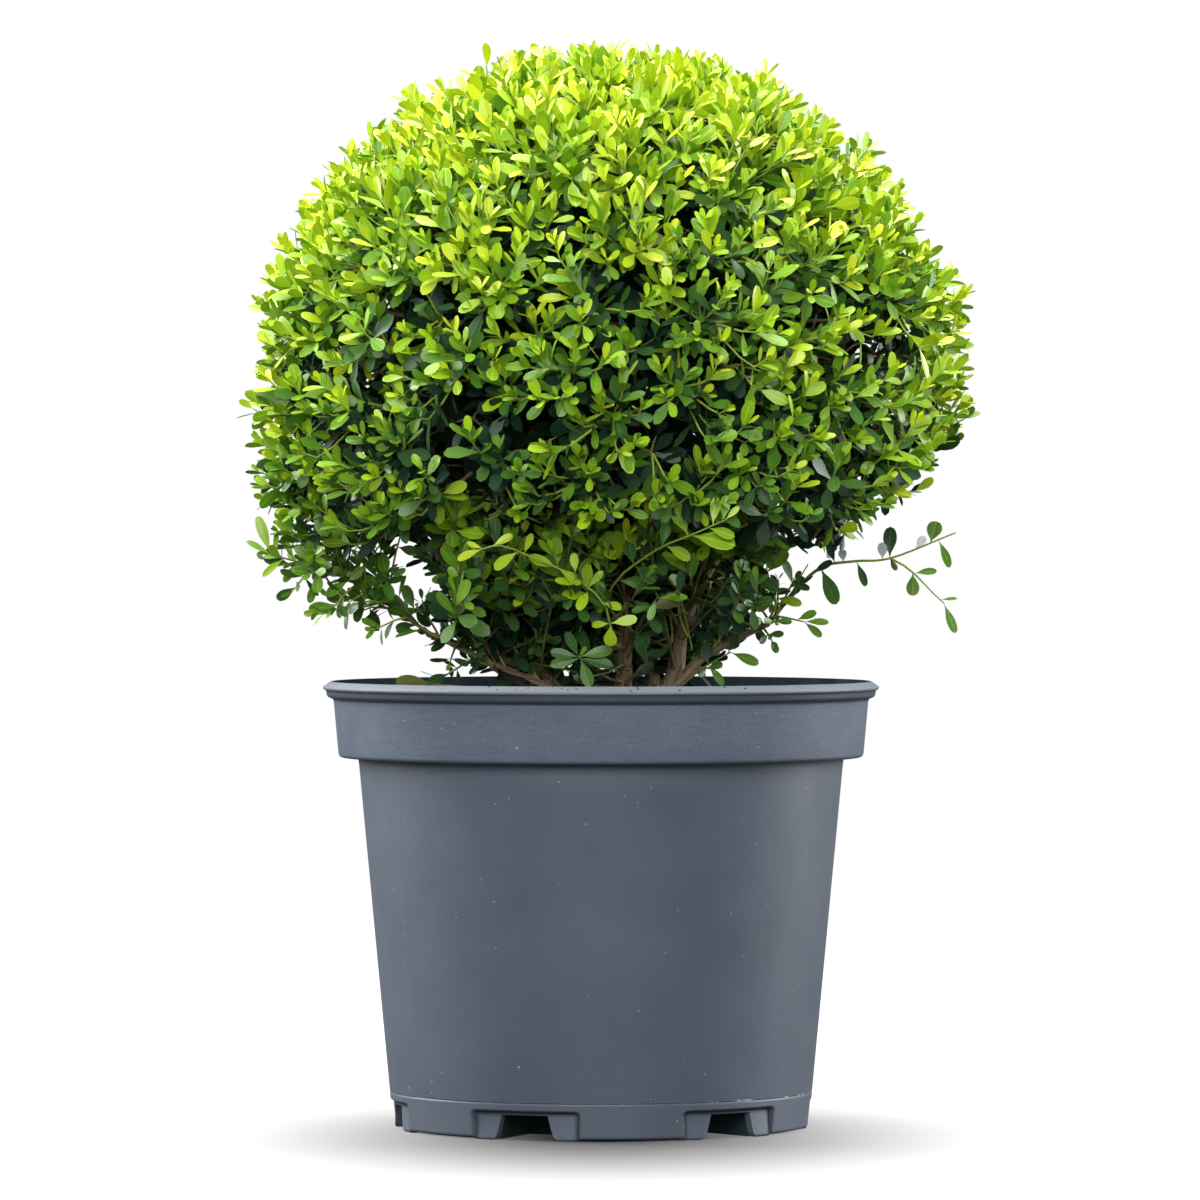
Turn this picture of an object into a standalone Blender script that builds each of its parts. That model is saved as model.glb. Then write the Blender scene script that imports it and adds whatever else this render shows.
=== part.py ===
"""A box plant clipped to a ball, in a round nursery pot. Metres, +Z up, front towards -Y.

The origin is the middle of the pot's flat underside. The pot is a thin turned shell with a stepped band
and six drain channels under its floor. It is filled with soil, which carries a low root crown, the stems
and two low boughs. The clipped crown and the two low sprays are masses of foliage: each is a stem of its
own, the twigs that branch from it, and the leaves fused to them.
"""

import math
import random

import bmesh
import bpy
from mathutils import Matrix, Vector

MM = 0.001
GAP = 0.3 * MM  # between pieces that touch
MERGE = 0.01 * MM  # points closer than this are one
SEED = 11
GOLDEN_ANGLE = math.pi * (3.0 - math.sqrt(5.0))

# Pot: radii are to the outside, heights are above the ground
POT_HEIGHT = 268.0 * MM
LIP_RADIUS = 167.0 * MM
LIP_SLOPE = 4.8 * MM  # how far the sloping top of the lip reaches in from its edge
LIP_FALL = 3.4 * MM
LIP_DROP = 5.6 * MM
BEAD_RADIUS = 165.0 * MM
BEAD_FOOT_RADIUS = 164.5 * MM
BEAD_FOOT = 258.9 * MM
BAND_TOP_RADIUS = 160.6 * MM
BAND_TOP = 256.9 * MM
BAND_FOOT_RADIUS = 157.4 * MM
BAND_FOOT = 222.5 * MM
BAND_CHAMFER = 2.8 * MM
STEP_SLANT = 1.0 * MM  # fall of the step under the band
BODY_TOP_RADIUS = 145.5 * MM
BODY_FOOT_RADIUS = 126.8 * MM
SEAM_HEIGHT = 22.0 * MM
FOOT_RADIUS = 124.6 * MM
FOOT_CHAMFER = 1.4 * MM
WALL = 2.2 * MM
FLOOR = 3.0 * MM
POT_STEPS = 40

# Drain channels under the floor, each with its mouth in a recess of the foot
CHANNELS = 6
FIRST_CHANNEL = math.radians(-21.5)  # from the front, towards +X
CHANNEL_HEIGHT = 15.0 * MM
CHANNEL_TOP_WIDTH = 28.0 * MM
CHANNEL_FOOT_WIDTH = 36.0 * MM
CHANNEL_START = 74.0 * MM
RECESS_HEIGHT = 17.0 * MM
RECESS_DEPTH = 3.0 * MM
RECESS_ANGLE = math.radians(31.0)
RECESS_STEPS = 4
FOOT_RING_INNER = 119.0 * MM
FOOT_RING_HEIGHT = 19.5 * MM
CUTTER_REACH = 15.0 * MM  # how far the cutters reach out past the body's foot
CUTTER_DROP = 2.0 * MM  # and below the ground

# Soil and root crown
SOIL_TOP = 246.0 * MM
SOIL_EDGE_TOP = 243.0 * MM
SOIL_LEVEL_RADIUS = 80.0 * MM
SOIL_EDGE_RADIUS = 155.8 * MM
SOIL_GAP = 0.5 * MM
ROOT_RADIUS = 47.0 * MM
ROOT_TOP_RADIUS = 39.0 * MM
ROOT_TOP = 257.0 * MM
ROOT_SIDES = 18
ROOT_LOBES = ((3, 0.07, 0.6), (5, 0.03, 0.0))  # lobes in a turn, their share of the radius, their turn

# Crown: the surface that the clipped leaves reach, and the core under them
CROWN_CENTRE = Vector((3.0, 0.0, 448.6)) * MM
CROWN_RADIUS = 222.0 * MM
CROWN_RISE = 205.5 * MM
CROWN_DROP = 170.0 * MM
CROWN_LOW_POWER = 2.6
CORE_SHARE = 0.82
CORE_FOOT = 345.0 * MM
CROWN_STEM_FOOT = 339.0 * MM
CROWN_STEM_RISE = 24.0 * MM
CROWN_STEM_RADIUS = 4.0 * MM
CROWN_TWIGS = 30
CROWN_TWIG_RADII = (5.0 * MM, 3.0 * MM)
CROWN_SHOOTS = 118
SHOOT_WANDER = 0.05
SHOOT_BARE = 2.0 * MM  # outside the core, before its first leaves
LEAST_LEAFY = 10.8 * MM
FORK_SHARE = 0.6  # how far out the twigs fork, but always inside the core
FORK_CORE_SHARE = 0.9
LOWEST_LEAF = 278.0 * MM

# Leaves and the twigs that carry them
LEAF_LENGTH = 38.0 * MM
LEAF_WIDTH = 16.5 * MM
LEAF_THICKNESS = 1.6 * MM
LEAF_FOLD = 2.0 * MM
LEAF_WIDEST = 0.6
LEAF_SINK = 0.9 * MM  # how far a leaf's root lies inside its twig
LEAF_ROLL = 0.35
TWIG_RADIUS = 2.4 * MM
TWIG_TAPER = 1.3
TIP_SPREAD = math.radians(50.0)
SIDE_SPREAD = math.radians(72.0)
SPREAD_CHANGE = 0.15
TIP_INSET = 0.6  # of the twig's radius, from its end back to its first pair
PAIR_SPACING = 18.0 * MM
LIMB_CLEARANCE = 1.5 * MM
CLEAR_FROM = 0.3  # a twig may start near a limb, so it is clear from this share of its length on
LEAF_CLEAR_FROM = 0.25

# Stems: foot and tip radii, then guide points (x, y, z) in millimetres, from the root crown upwards
STEM_FLARE = 0.3  # how much wider a limb is at its very foot
STEMS = {
    "stem_front": (4.9, 4.0, ((12, -17, 250), (14, -19, 280), (14, -22, 310), (15, -22, 345))),
    "stem_left": (
        7.4, 5.6, ((-26, -6, 250), (-36, -8, 267), (-62, -12, 281), (-76, -14, 305), (-97, -14, 352))),
    "stem_right": (5.2, 3.8, ((34, -4, 250), (44, -6, 272), (48, -8, 299), (56, -8, 320), (73, -10, 352))),
    "stem_back": (4.6, 3.6, ((25, 20, 250), (31, 26, 272), (26, 52, 310), (20, 78, 352))),
    "stem_back_left": (5.4, 4.0, ((-22, 20, 250), (-30, 28, 270), (-50, 58, 310), (-66, 84, 352))),
    "stem_back_right": (4.8, 3.6, ((12, 30, 250), (48, 44, 272), (76, 56, 310), (96, 66, 352))),
}
CROWN_STEM = "stem_front"

# Low boughs, which end in a spray of their own
BOUGHS = {
    "bough_low_left": (2.6, 1.5, ((-20, -26, 250), (-34, -30, 266), (-60, -32, 277), (-90, -31, 291))),
    "bough_low_right": (
        2.7, 1.6, ((29, -22, 250), (47, -26, 267), (60, -28, 281), (84, -28, 295), (101, -26, 303))),
}

# Low sprays: the path of the main twig, then side twigs as (share of the path, end point)
SPRAYS = {
    "spray_left": {
        "bough": "bough_low_left",
        "path": (
            (-105, -30, 299), (-121, -29, 311), (-138, -29, 323), (-158, -30, 334), (-178, -30, 339),
            (-197, -30, 344)),
        "sides": (
            (0.34, (-134, -38, 300)), (0.45, (-150, -12, 316)), (0.55, (-158, -50, 350)),
            (0.72, (-184, -46, 322)), (0.82, (-188, -14, 358))),
        "leaf_scale": 0.72,
    },
    "spray_right": {
        "bough": "bough_low_right",
        "path": (
            (108, -25, 313), (119, -24, 326), (133, -22, 337), (152, -20, 340), (174, -19, 342),
            (212, -18, 357)),
        "sides": ((0.06, (121, -30, 304)), (0.66, (205, -20, 315))),
        "leaf_scale": 0.66,
    },
}
SPRAY_SPACE = 12.0 * MM  # round a spray's twigs, kept clear of the crown's leaves
SPRAY_START = 4.0 * MM  # its first stretch goes straight on from the bough
SPRAY_TAPER = 0.45
STRETCH_TAPER = 0.9
SPRAY_OVERLAP = 0.8 * MM
SPRAY_BARE = 6.0 * MM
SIDE_BARE = 9.0 * MM
SIDE_RADII = (0.7, 0.5)  # of the bough's tip radius

POT_COLOUR = (0.085, 0.105, 0.135)
SOIL_COLOUR = (0.030, 0.020, 0.013)
BARK_COLOUR = (0.165, 0.115, 0.070)
LEAF_COLOUR = (0.170, 0.330, 0.020)
LOW_LEAF_COLOUR = (0.075, 0.180, 0.015)


def clear_scene():
    for obj in list(bpy.data.objects):
        bpy.data.objects.remove(obj, do_unlink=True)


def new_collection(name):
    collection = bpy.data.collections.new(name)
    bpy.context.scene.collection.children.link(collection)
    return collection


def add_object(name, mesh, collection):
    obj = bpy.data.objects.new(name, mesh)
    collection.objects.link(obj)
    return obj


def material(name, colour, roughness):
    made = bpy.data.materials.new(name)
    made.use_nodes = True
    shader = made.node_tree.nodes["Principled BSDF"]
    shader.inputs["Base Color"].default_value = (*colour, 1.0)
    shader.inputs["Roughness"].default_value = roughness
    shader.inputs["Metallic"].default_value = 0.0
    return made


def mesh_from(bm, name):
    mesh = bpy.data.meshes.new(name)
    bm.to_mesh(mesh)
    bm.free()
    return mesh


def hide_cutter(obj):
    obj.hide_render = True
    obj.display_type = "WIRE"


def smooth_round(obj, angle=math.radians(35.0)):
    obj.data.shade_smooth()
    obj.data.set_sharp_from_angle(angle=angle)


# Pot and soil ---------------------------------------------------------------------------------------


def turned(name, outline, collection):
    """A solid turned from an outline of (radius, height) points, which starts and ends on the axis."""
    mesh = bpy.data.meshes.new(name)
    points = [(radius, 0.0, height) for radius, height in outline]
    edges = [(i, i + 1) for i in range(len(points) - 1)]
    mesh.from_pydata(points, edges, [])
    obj = add_object(name, mesh, collection)
    screw = obj.modifiers.new("turn", "SCREW")
    screw.steps = POT_STEPS
    screw.render_steps = POT_STEPS
    screw.use_merge_vertices = True
    screw.merge_threshold = MERGE
    return obj


def cut(obj, operation, other):
    boolean = obj.modifiers.new(operation.lower(), "BOOLEAN")
    boolean.operation = operation
    boolean.solver = "EXACT"
    boolean.object = other


def inner_wall():
    """The pot's inside, from the middle of its floor up to the lip."""
    return [
        (0.0, FLOOR),
        (FOOT_RING_INNER, FLOOR),
        (FOOT_RING_INNER, FOOT_RING_HEIGHT),
        (BODY_FOOT_RADIUS - WALL, SEAM_HEIGHT + WALL),
        (BODY_TOP_RADIUS - WALL, BAND_FOOT + WALL - STEP_SLANT),
        (BAND_FOOT_RADIUS - WALL - STEP_SLANT, BAND_FOOT + WALL),
        (BAND_FOOT_RADIUS - WALL, BAND_FOOT + 2.0 * WALL),
        (BAND_TOP_RADIUS - WALL, BAND_TOP),
        (LIP_RADIUS - 3.0 * WALL, POT_HEIGHT),
    ]


def outer_wall():
    """The pot's outside, from the lip down to the middle of its underside."""
    return [
        (LIP_RADIUS - LIP_SLOPE, POT_HEIGHT),
        (LIP_RADIUS, POT_HEIGHT - LIP_FALL),
        (BEAD_RADIUS, POT_HEIGHT - LIP_DROP),
        (BEAD_FOOT_RADIUS, BEAD_FOOT),
        (BAND_TOP_RADIUS, BAND_TOP),
        (BAND_FOOT_RADIUS, BAND_FOOT + BAND_CHAMFER),
        (BAND_FOOT_RADIUS - BAND_CHAMFER, BAND_FOOT),
        (BODY_TOP_RADIUS, BAND_FOOT - STEP_SLANT),
        (BODY_FOOT_RADIUS, SEAM_HEIGHT),
        (FOOT_RADIUS, FOOT_CHAMFER),
        (FOOT_RADIUS - FOOT_CHAMFER, 0.0),
        (0.0, 0.0),
    ]


def channel_angles():
    """The directions of the drain channels, as angles from +X."""
    return [FIRST_CHANNEL - math.pi / 2 + i * math.tau / CHANNELS for i in range(CHANNELS)]


def channel_blocks(name, collection, start, end, low, high, margin):
    """A straight block along each channel, wider at its foot."""
    bm = bmesh.new()
    for angle in channel_angles():
        corners = bmesh.ops.create_cube(bm, size=1.0)["verts"]
        for corner in corners:
            foot = corner.co.z < 0.0
            width = (CHANNEL_FOOT_WIDTH if foot else CHANNEL_TOP_WIDTH) + 2.0 * margin
            along = start if corner.co.x < 0.0 else end
            corner.co = Vector((along, corner.co.y * width, low if foot else high))
        bmesh.ops.rotate(bm, verts=corners, cent=(0, 0, 0), matrix=Matrix.Rotation(angle, 3, "Z"))
    obj = add_object(name, mesh_from(bm, name), collection)
    hide_cutter(obj)
    return obj


def recess_blocks(name, collection):
    """A curved block round each channel's mouth, which sets the foot back behind the wall."""
    bm = bmesh.new()
    inner = FOOT_RADIUS - RECESS_DEPTH
    outer = BODY_FOOT_RADIUS + CUTTER_REACH
    for angle in channel_angles():
        side = [
            bm.verts.new((radius, 0.0, height))
            for radius, height in (
                (inner, -CUTTER_DROP), (outer, -CUTTER_DROP), (outer, RECESS_HEIGHT), (inner, RECESS_HEIGHT))
        ]
        face = bm.faces.new(side)
        turn = Matrix.Rotation(angle - RECESS_ANGLE / 2, 3, "Z")
        bmesh.ops.rotate(bm, verts=side, cent=(0, 0, 0), matrix=turn)
        bmesh.ops.spin(
            bm, geom=[face, *face.edges, *side], cent=(0, 0, 0), axis=(0, 0, 1),
            angle=RECESS_ANGLE, steps=RECESS_STEPS)
    bmesh.ops.recalc_face_normals(bm, faces=bm.faces[:])
    obj = add_object(name, mesh_from(bm, name), collection)
    hide_cutter(obj)
    return obj


def build_pot(parts, cutters):
    pot = turned("pot", inner_wall() + outer_wall(), parts)
    cut(pot, "UNION", channel_blocks(
        "channel_roofs", cutters, CHANNEL_START - WALL, FOOT_RING_INNER + WALL,
        FLOOR / 2, CHANNEL_HEIGHT + WALL, WALL))
    cut(pot, "DIFFERENCE", channel_blocks(
        "channels", cutters, CHANNEL_START, BODY_FOOT_RADIUS + CUTTER_REACH,
        -CUTTER_DROP, CHANNEL_HEIGHT, 0.0))
    cut(pot, "DIFFERENCE", recess_blocks("recesses", cutters))
    pot.data.materials.append(material("pot_plastic", POT_COLOUR, 0.55))
    return pot


def build_soil(parts, cutters):
    """The soil fills the pot, a hair clear of its inside and of the channels' roofs."""
    sides = [(radius - SOIL_GAP, height + SOIL_GAP) for radius, height in inner_wall()[1:-2]]
    top = [(0.0, SOIL_TOP), (SOIL_LEVEL_RADIUS, SOIL_TOP), (SOIL_EDGE_RADIUS, SOIL_EDGE_TOP)]
    soil = turned("soil", top + sides[::-1] + [(0.0, FLOOR + SOIL_GAP)], parts)
    over_roof = WALL + 2.0 * SOIL_GAP
    cut(soil, "DIFFERENCE", channel_blocks(
        "over_roofs", cutters, CHANNEL_START - over_roof, BODY_FOOT_RADIUS + CUTTER_REACH,
        -CUTTER_DROP, CHANNEL_HEIGHT + over_roof, over_roof))
    soil.data.materials.append(material("peat", SOIL_COLOUR, 0.95))
    return soil


# Limbs ----------------------------------------------------------------------------------------------


def cut_level(bm, height, keep_above):
    """Cuts a mesh flat at a height and closes it there."""
    normal = (0, 0, -1) if keep_above else (0, 0, 1)
    whole = bm.verts[:] + bm.edges[:] + bm.faces[:]
    bmesh.ops.bisect_plane(bm, geom=whole, plane_co=(0, 0, height), plane_no=normal, clear_outer=True)
    rim = [edge for edge in bm.edges if edge.is_boundary]
    if rim:
        bmesh.ops.holes_fill(bm, edges=rim, sides=0)


def limb_mesh(name, foot_radius, tip_radius, guides):
    """One tapering limb along a smooth line through its guide points, flared a little at its foot."""
    line = bpy.data.curves.new(name, "CURVE")
    line.dimensions = "3D"
    line.bevel_depth = MM
    line.bevel_resolution = 2
    line.use_fill_caps = True
    line.resolution_u = 2
    spline = line.splines.new("BEZIER")
    spline.bezier_points.add(len(guides) - 1)
    for i, (point, guide) in enumerate(zip(spline.bezier_points, guides)):
        along = i / (len(guides) - 1)
        flare = 1.0 + STEM_FLARE * (1.0 - along) ** 5
        point.co = Vector(guide) * MM
        point.radius = (foot_radius + (tip_radius - foot_radius) * along) * flare
        point.handle_left_type = "AUTO"
        point.handle_right_type = "AUTO"
    spline.bezier_points[-1].handle_left_type = "VECTOR"
    spline.bezier_points[-2].handle_right_type = "VECTOR"
    curve = bpy.data.objects.new(name + "_line", line)
    bpy.context.scene.collection.objects.link(curve)
    bpy.context.view_layer.update()
    graph = bpy.context.evaluated_depsgraph_get()
    mesh = bpy.data.meshes.new_from_object(curve.evaluated_get(graph))
    bpy.data.objects.remove(curve, do_unlink=True)
    bpy.data.curves.remove(line)
    bm = bmesh.new()
    bm.from_mesh(mesh)
    bpy.data.meshes.remove(mesh)
    bmesh.ops.remove_doubles(bm, verts=bm.verts[:], dist=MERGE)
    bmesh.ops.recalc_face_normals(bm, faces=bm.faces[:])
    return bm


def build_limb(name, sizes, parts, bark, tip_height=None):
    """A limb with a flat foot on the root crown, cut flat at tip_height or left square at its tip."""
    bm = limb_mesh(name, *sizes)
    cut_level(bm, ROOT_TOP + GAP, keep_above=True)
    if tip_height is not None:
        cut_level(bm, tip_height, keep_above=False)
    obj = add_object(name, mesh_from(bm, name), parts)
    smooth_round(obj)
    obj.data.materials.append(bark)
    return obj


def build_root_crown(parts, bark):
    """The low stool of old wood that the stems rise from, flared into lobes at the soil."""
    bm = bmesh.new()
    height = ROOT_TOP - SOIL_TOP - GAP
    middle = (ROOT_TOP + SOIL_TOP + GAP) / 2
    bmesh.ops.create_cone(
        bm, cap_ends=True, segments=ROOT_SIDES, radius1=ROOT_RADIUS, radius2=ROOT_TOP_RADIUS, depth=height,
        matrix=Matrix.Translation((0, 0, middle)))
    for vert in bm.verts:
        turn = math.atan2(vert.co.y, vert.co.x)
        lobe = 1.0 + sum(share * math.cos(count * turn + start) for count, share, start in ROOT_LOBES)
        vert.co.x *= lobe
        vert.co.y *= lobe
    obj = add_object("root_crown", mesh_from(bm, "root_crown"), parts)
    smooth_round(obj)
    obj.data.materials.append(bark)
    return obj


# Foliage --------------------------------------------------------------------------------------------


def leaf_mesh(name, scale):
    """A box leaf as an eight-faced blade, widest past its middle and folded at its midrib."""
    bm = bmesh.new()
    lie_down = Matrix.Rotation(math.pi / 2, 4, "Y")
    bmesh.ops.create_uvsphere(bm, u_segments=4, v_segments=2, radius=1.0, matrix=lie_down)
    for vert in bm.verts:
        x, y, z = vert.co
        if abs(x) > 0.5:
            along = LEAF_LENGTH if x > 0 else 0.0
        else:
            along = LEAF_LENGTH * LEAF_WIDEST
        rise = LEAF_FOLD * abs(y) + LEAF_THICKNESS / 2 * z
        vert.co = Vector((along, y * LEAF_WIDTH / 2, rise)) * scale
    bmesh.ops.recalc_face_normals(bm, faces=bm.faces[:])
    return mesh_from(bm, name)


def frame_along(direction, upward):
    """A turn that takes +X to direction and +Z as near to upward as it can."""
    x = direction.normalized()
    y = upward.cross(x)
    if y.length < 1e-4:
        y = x.orthogonal()
    y.normalize()
    return Matrix((x, y, x.cross(y))).transposed().to_4x4()


def distance_between(a0, a1, b0, b1, samples=7):
    """The least distance between two short segments, from points along the first."""
    along = b1 - b0
    best = math.inf
    for i in range(samples):
        point = a0.lerp(a1, i / (samples - 1))
        share = max(0.0, min(1.0, (point - b0).dot(along) / along.length_squared))
        best = min(best, (point - b0 - along * share).length)
    return best


class Foliage:
    """A mass of foliage while it grows: its wood and leaves, and the limbs and spaces it keeps clear of."""

    def __init__(self, name, leaf_scale, seed):
        self.name = name
        self.pieces = bpy.data.collections.new(name + "_pieces")
        bpy.context.scene.collection.children.link(self.pieces)
        self.leaf = leaf_mesh(name + "_leaf", leaf_scale)
        self.length = LEAF_LENGTH * leaf_scale
        self.half_width = LEAF_WIDTH * leaf_scale / 2
        self.chance = random.Random(seed)
        self.taken = []
        self.grown = []
        self.under_core = False
        self.leaves = 0

    def keep_clear(self, guides, radius):
        points = [Vector(guide) * MM for guide in guides]
        self.taken += [(a, b, radius) for a, b in zip(points, points[1:])]

    def is_clear(self, start, end, radius):
        """True if a straight piece stays clear of the limbs, and of the core if it grows under that."""
        if self.under_core and any(inside_core(start.lerp(end, share), radius) for share in (0.0, 0.5, 1.0)):
            return False
        return all(
            distance_between(start, end, a, b) > radius + limb + LIMB_CLEARANCE for a, b, limb in self.taken)

    def wood(self, start, end, start_radius, end_radius, sides=3):
        axis = end - start
        bm = bmesh.new()
        place = Matrix.Translation((start + end) / 2) @ axis.to_track_quat("Z", "Y").to_matrix().to_4x4()
        bmesh.ops.create_cone(
            bm, cap_ends=True, segments=sides, radius1=start_radius, radius2=end_radius,
            depth=axis.length, matrix=place)
        self.grown.append((start, end, start_radius))
        return add_object(self.name + "_wood", mesh_from(bm, self.name + "_wood"), self.pieces)

    def leaf_ends(self, node, axis, side, spread):
        """The root and tip of one leaf of a pair."""
        direction = axis * math.cos(spread) + side * math.sin(spread)
        return node - direction * LEAF_SINK, node + direction * (self.length - LEAF_SINK)

    def add_leaf(self, node, axis, side, spread):
        root, tip = self.leaf_ends(node, axis, side, spread)
        blade = root.lerp(tip, LEAF_CLEAR_FROM)
        if tip.z < LOWEST_LEAF or not self.is_clear(blade, tip, self.half_width):
            return
        roll = Matrix.Rotation(self.chance.uniform(-LEAF_ROLL, LEAF_ROLL), 4, "X")
        place = Matrix.Translation(root) @ frame_along(tip - root, axis) @ roll
        leaf = add_object(self.name + "_leaf", self.leaf, self.pieces)
        leaf.matrix_world = place
        self.grown.append((root, tip, self.half_width))
        self.leaves += 1

    def dress(self, start, end, first, twig_radius, pairs=None):
        """Opposite pairs of leaves from a shoot's tip back, each pair turned a quarter from the last."""
        axis = (end - start).normalized()
        length = (end - start).length
        count = pairs or max(2, 1 + round((length - first) / PAIR_SPACING))
        side = axis.orthogonal().normalized()
        side.rotate(Matrix.Rotation(self.chance.uniform(0.0, math.pi), 3, axis))
        for i in range(count):
            back = (length - first) * i / max(1, count - 1)
            node = end - axis * (back + TIP_INSET * twig_radius)
            change = self.chance.uniform(-SPREAD_CHANGE, SPREAD_CHANGE) if i else 0.0
            spread = (SIDE_SPREAD if i else TIP_SPREAD) + change
            for way in (1, -1):
                self.add_leaf(node, axis, side * way, spread)
            side = axis.cross(side)

    def join(self, body, finish):
        """Unions every piece into the body, applies the union, and keeps the one outer shell."""
        union = body.modifiers.new("join", "BOOLEAN")
        union.operation = "UNION"
        union.operand_type = "COLLECTION"
        union.collection = self.pieces
        union.solver = "MANIFOLD"
        bpy.context.view_layer.update()
        graph = bpy.context.evaluated_depsgraph_get()
        mesh = bpy.data.meshes.new_from_object(body.evaluated_get(graph))
        body.modifiers.remove(union)
        for piece in list(self.pieces.objects):
            bpy.data.objects.remove(piece, do_unlink=True)
        bpy.data.collections.remove(self.pieces)
        bm = bmesh.new()
        bm.from_mesh(mesh)
        keep_outer_shell(bm)
        bm.to_mesh(mesh)
        bm.free()
        mesh.name = self.name
        mesh.materials.clear()
        mesh.materials.append(finish)
        body.data = mesh
        print(self.name, self.leaves, "leaves,", len(mesh.polygons), "triangles")


def keep_outer_shell(bm):
    """Drops loose scraps and the walls of sealed hollows, so that one closed body is left."""
    bmesh.ops.triangulate(bm, faces=bm.faces[:])
    left = set(bm.verts)
    shells = []
    while left:
        shell = {left.pop()}
        edge_of = list(shell)
        while edge_of:
            near = {edge.other_vert(vert) for vert in edge_of for edge in vert.link_edges} - shell
            shell |= near
            edge_of = list(near)
        left -= shell
        shells.append(shell)
    largest = max(shells, key=len)
    bmesh.ops.delete(bm, geom=[vert for vert in bm.verts if vert not in largest], context="VERTS")


def crown_reach(direction):
    """How far the clipped leaves reach from the crown's centre in a direction."""
    level = math.hypot(direction.x, direction.y) / CROWN_RADIUS
    if direction.z >= 0.0:
        return (level ** 2 + (direction.z / CROWN_RISE) ** 2) ** -0.5
    power = CROWN_LOW_POWER
    return (level ** power + (-direction.z / CROWN_DROP) ** power) ** (-1.0 / power)


def core_reach(direction):
    """How far the core reaches, which is cut flat at its foot."""
    reach = CORE_SHARE * crown_reach(direction)
    if direction.z < 0.0:
        reach = min(reach, (CROWN_CENTRE.z - CORE_FOOT) / -direction.z)
    return reach


def inside_core(point, margin):
    from_centre = point - CROWN_CENTRE
    return from_centre.length < core_reach(from_centre.normalized()) + margin


def spread_directions(count):
    """Directions spread evenly over a ball, from straight up to straight down."""
    for i in range(count):
        height = 1.0 - (2 * i + 1) / count
        level = math.sqrt(1.0 - height * height)
        turn = i * GOLDEN_ANGLE
        yield Vector((level * math.cos(turn), level * math.sin(turn), height))


def core_mesh():
    """The dense inside of the ball, flat underneath where the stems enter it."""
    bm = bmesh.new()
    bmesh.ops.create_uvsphere(bm, u_segments=18, v_segments=11, radius=1.0)
    for vert in bm.verts:
        direction = vert.co.normalized()
        vert.co = CROWN_CENTRE + direction * CORE_SHARE * crown_reach(direction)
    cut_level(bm, CORE_FOOT, keep_above=True)
    bmesh.ops.recalc_face_normals(bm, faces=bm.faces[:])
    return mesh_from(bm, "crown")


def fit_shoot(crown, fork, direction):
    """The end of a shoot in a direction, set so that its tip leaves just reach the clipped surface."""
    blade = crown.length - LEAF_SINK
    end = CROWN_CENTRE + direction * (crown_reach(direction) - blade * math.cos(TIP_SPREAD))
    for _ in range(3):
        axis = (end - fork).normalized()
        ahead = end + axis * blade * math.cos(TIP_SPREAD) - CROWN_CENTRE
        tip = math.hypot(ahead.length, blade * math.sin(TIP_SPREAD))
        end += direction * (crown_reach(ahead.normalized()) - tip)
    return end


def build_crown(parts, finish, sprays):
    """The clipped ball: its stem, the twigs that branch from it, and leafy shoots to its surface."""
    crown = Foliage("crown", 1.0, SEED)
    for sizes in (*STEMS.values(), *BOUGHS.values()):
        crown.keep_clear(sizes[2], max(sizes[:2]) * MM)
    for spray in sprays:
        crown.taken += [(start, end, max(radius, SPRAY_SPACE)) for start, end, radius in spray.grown]
    body = add_object("crown", core_mesh(), parts)
    foot = Vector(STEMS[CROWN_STEM][2][-1]) * MM
    foot.z = CROWN_STEM_FOOT
    head = foot + Vector((0.0, 0.0, CROWN_STEM_RISE))
    crown.wood(foot, head, CROWN_STEM_RADIUS, CROWN_STEM_RADIUS, sides=8)
    crown.wood(head, CROWN_CENTRE, CROWN_STEM_RADIUS, 2.0 * CROWN_STEM_RADIUS, sides=8)
    forks = []
    for direction in spread_directions(CROWN_TWIGS):
        reach = min(FORK_SHARE * crown_reach(direction), FORK_CORE_SHARE * core_reach(direction))
        end = CROWN_CENTRE + direction * reach
        crown.wood(CROWN_CENTRE, end, *CROWN_TWIG_RADII, sides=4)
        forks.append(end)
    for direction in spread_directions(CROWN_SHOOTS):
        wander = Vector((crown.chance.uniform(-1, 1) for _ in range(3))) * SHOOT_WANDER
        direction = (direction + wander).normalized()
        core = CROWN_CENTRE + direction * core_reach(direction)
        fork = min(forks, key=lambda place: (place - core).length)
        end = fit_shoot(crown, fork, direction)
        if end.z < LOWEST_LEAF or not crown.is_clear(fork.lerp(end, CLEAR_FROM), end, TWIG_RADIUS):
            continue
        crown.wood(fork, end, TWIG_RADIUS * TWIG_TAPER, TWIG_RADIUS)
        bare = min((core - fork).length + SHOOT_BARE, (end - fork).length - LEAST_LEAFY)
        crown.dress(fork, end, bare, TWIG_RADIUS)
    crown.join(body, finish)


def point_along(path, share):
    """The point at a share of the length of a path of straight stretches."""
    points = [Vector(point) for point in path]
    lengths = [(b - a).length for a, b in zip(points, points[1:])]
    left = share * sum(lengths)
    for a, b, length in zip(points, points[1:], lengths):
        if left <= length:
            return a.lerp(b, left / length)
        left -= length
    return points[-1]


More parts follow.
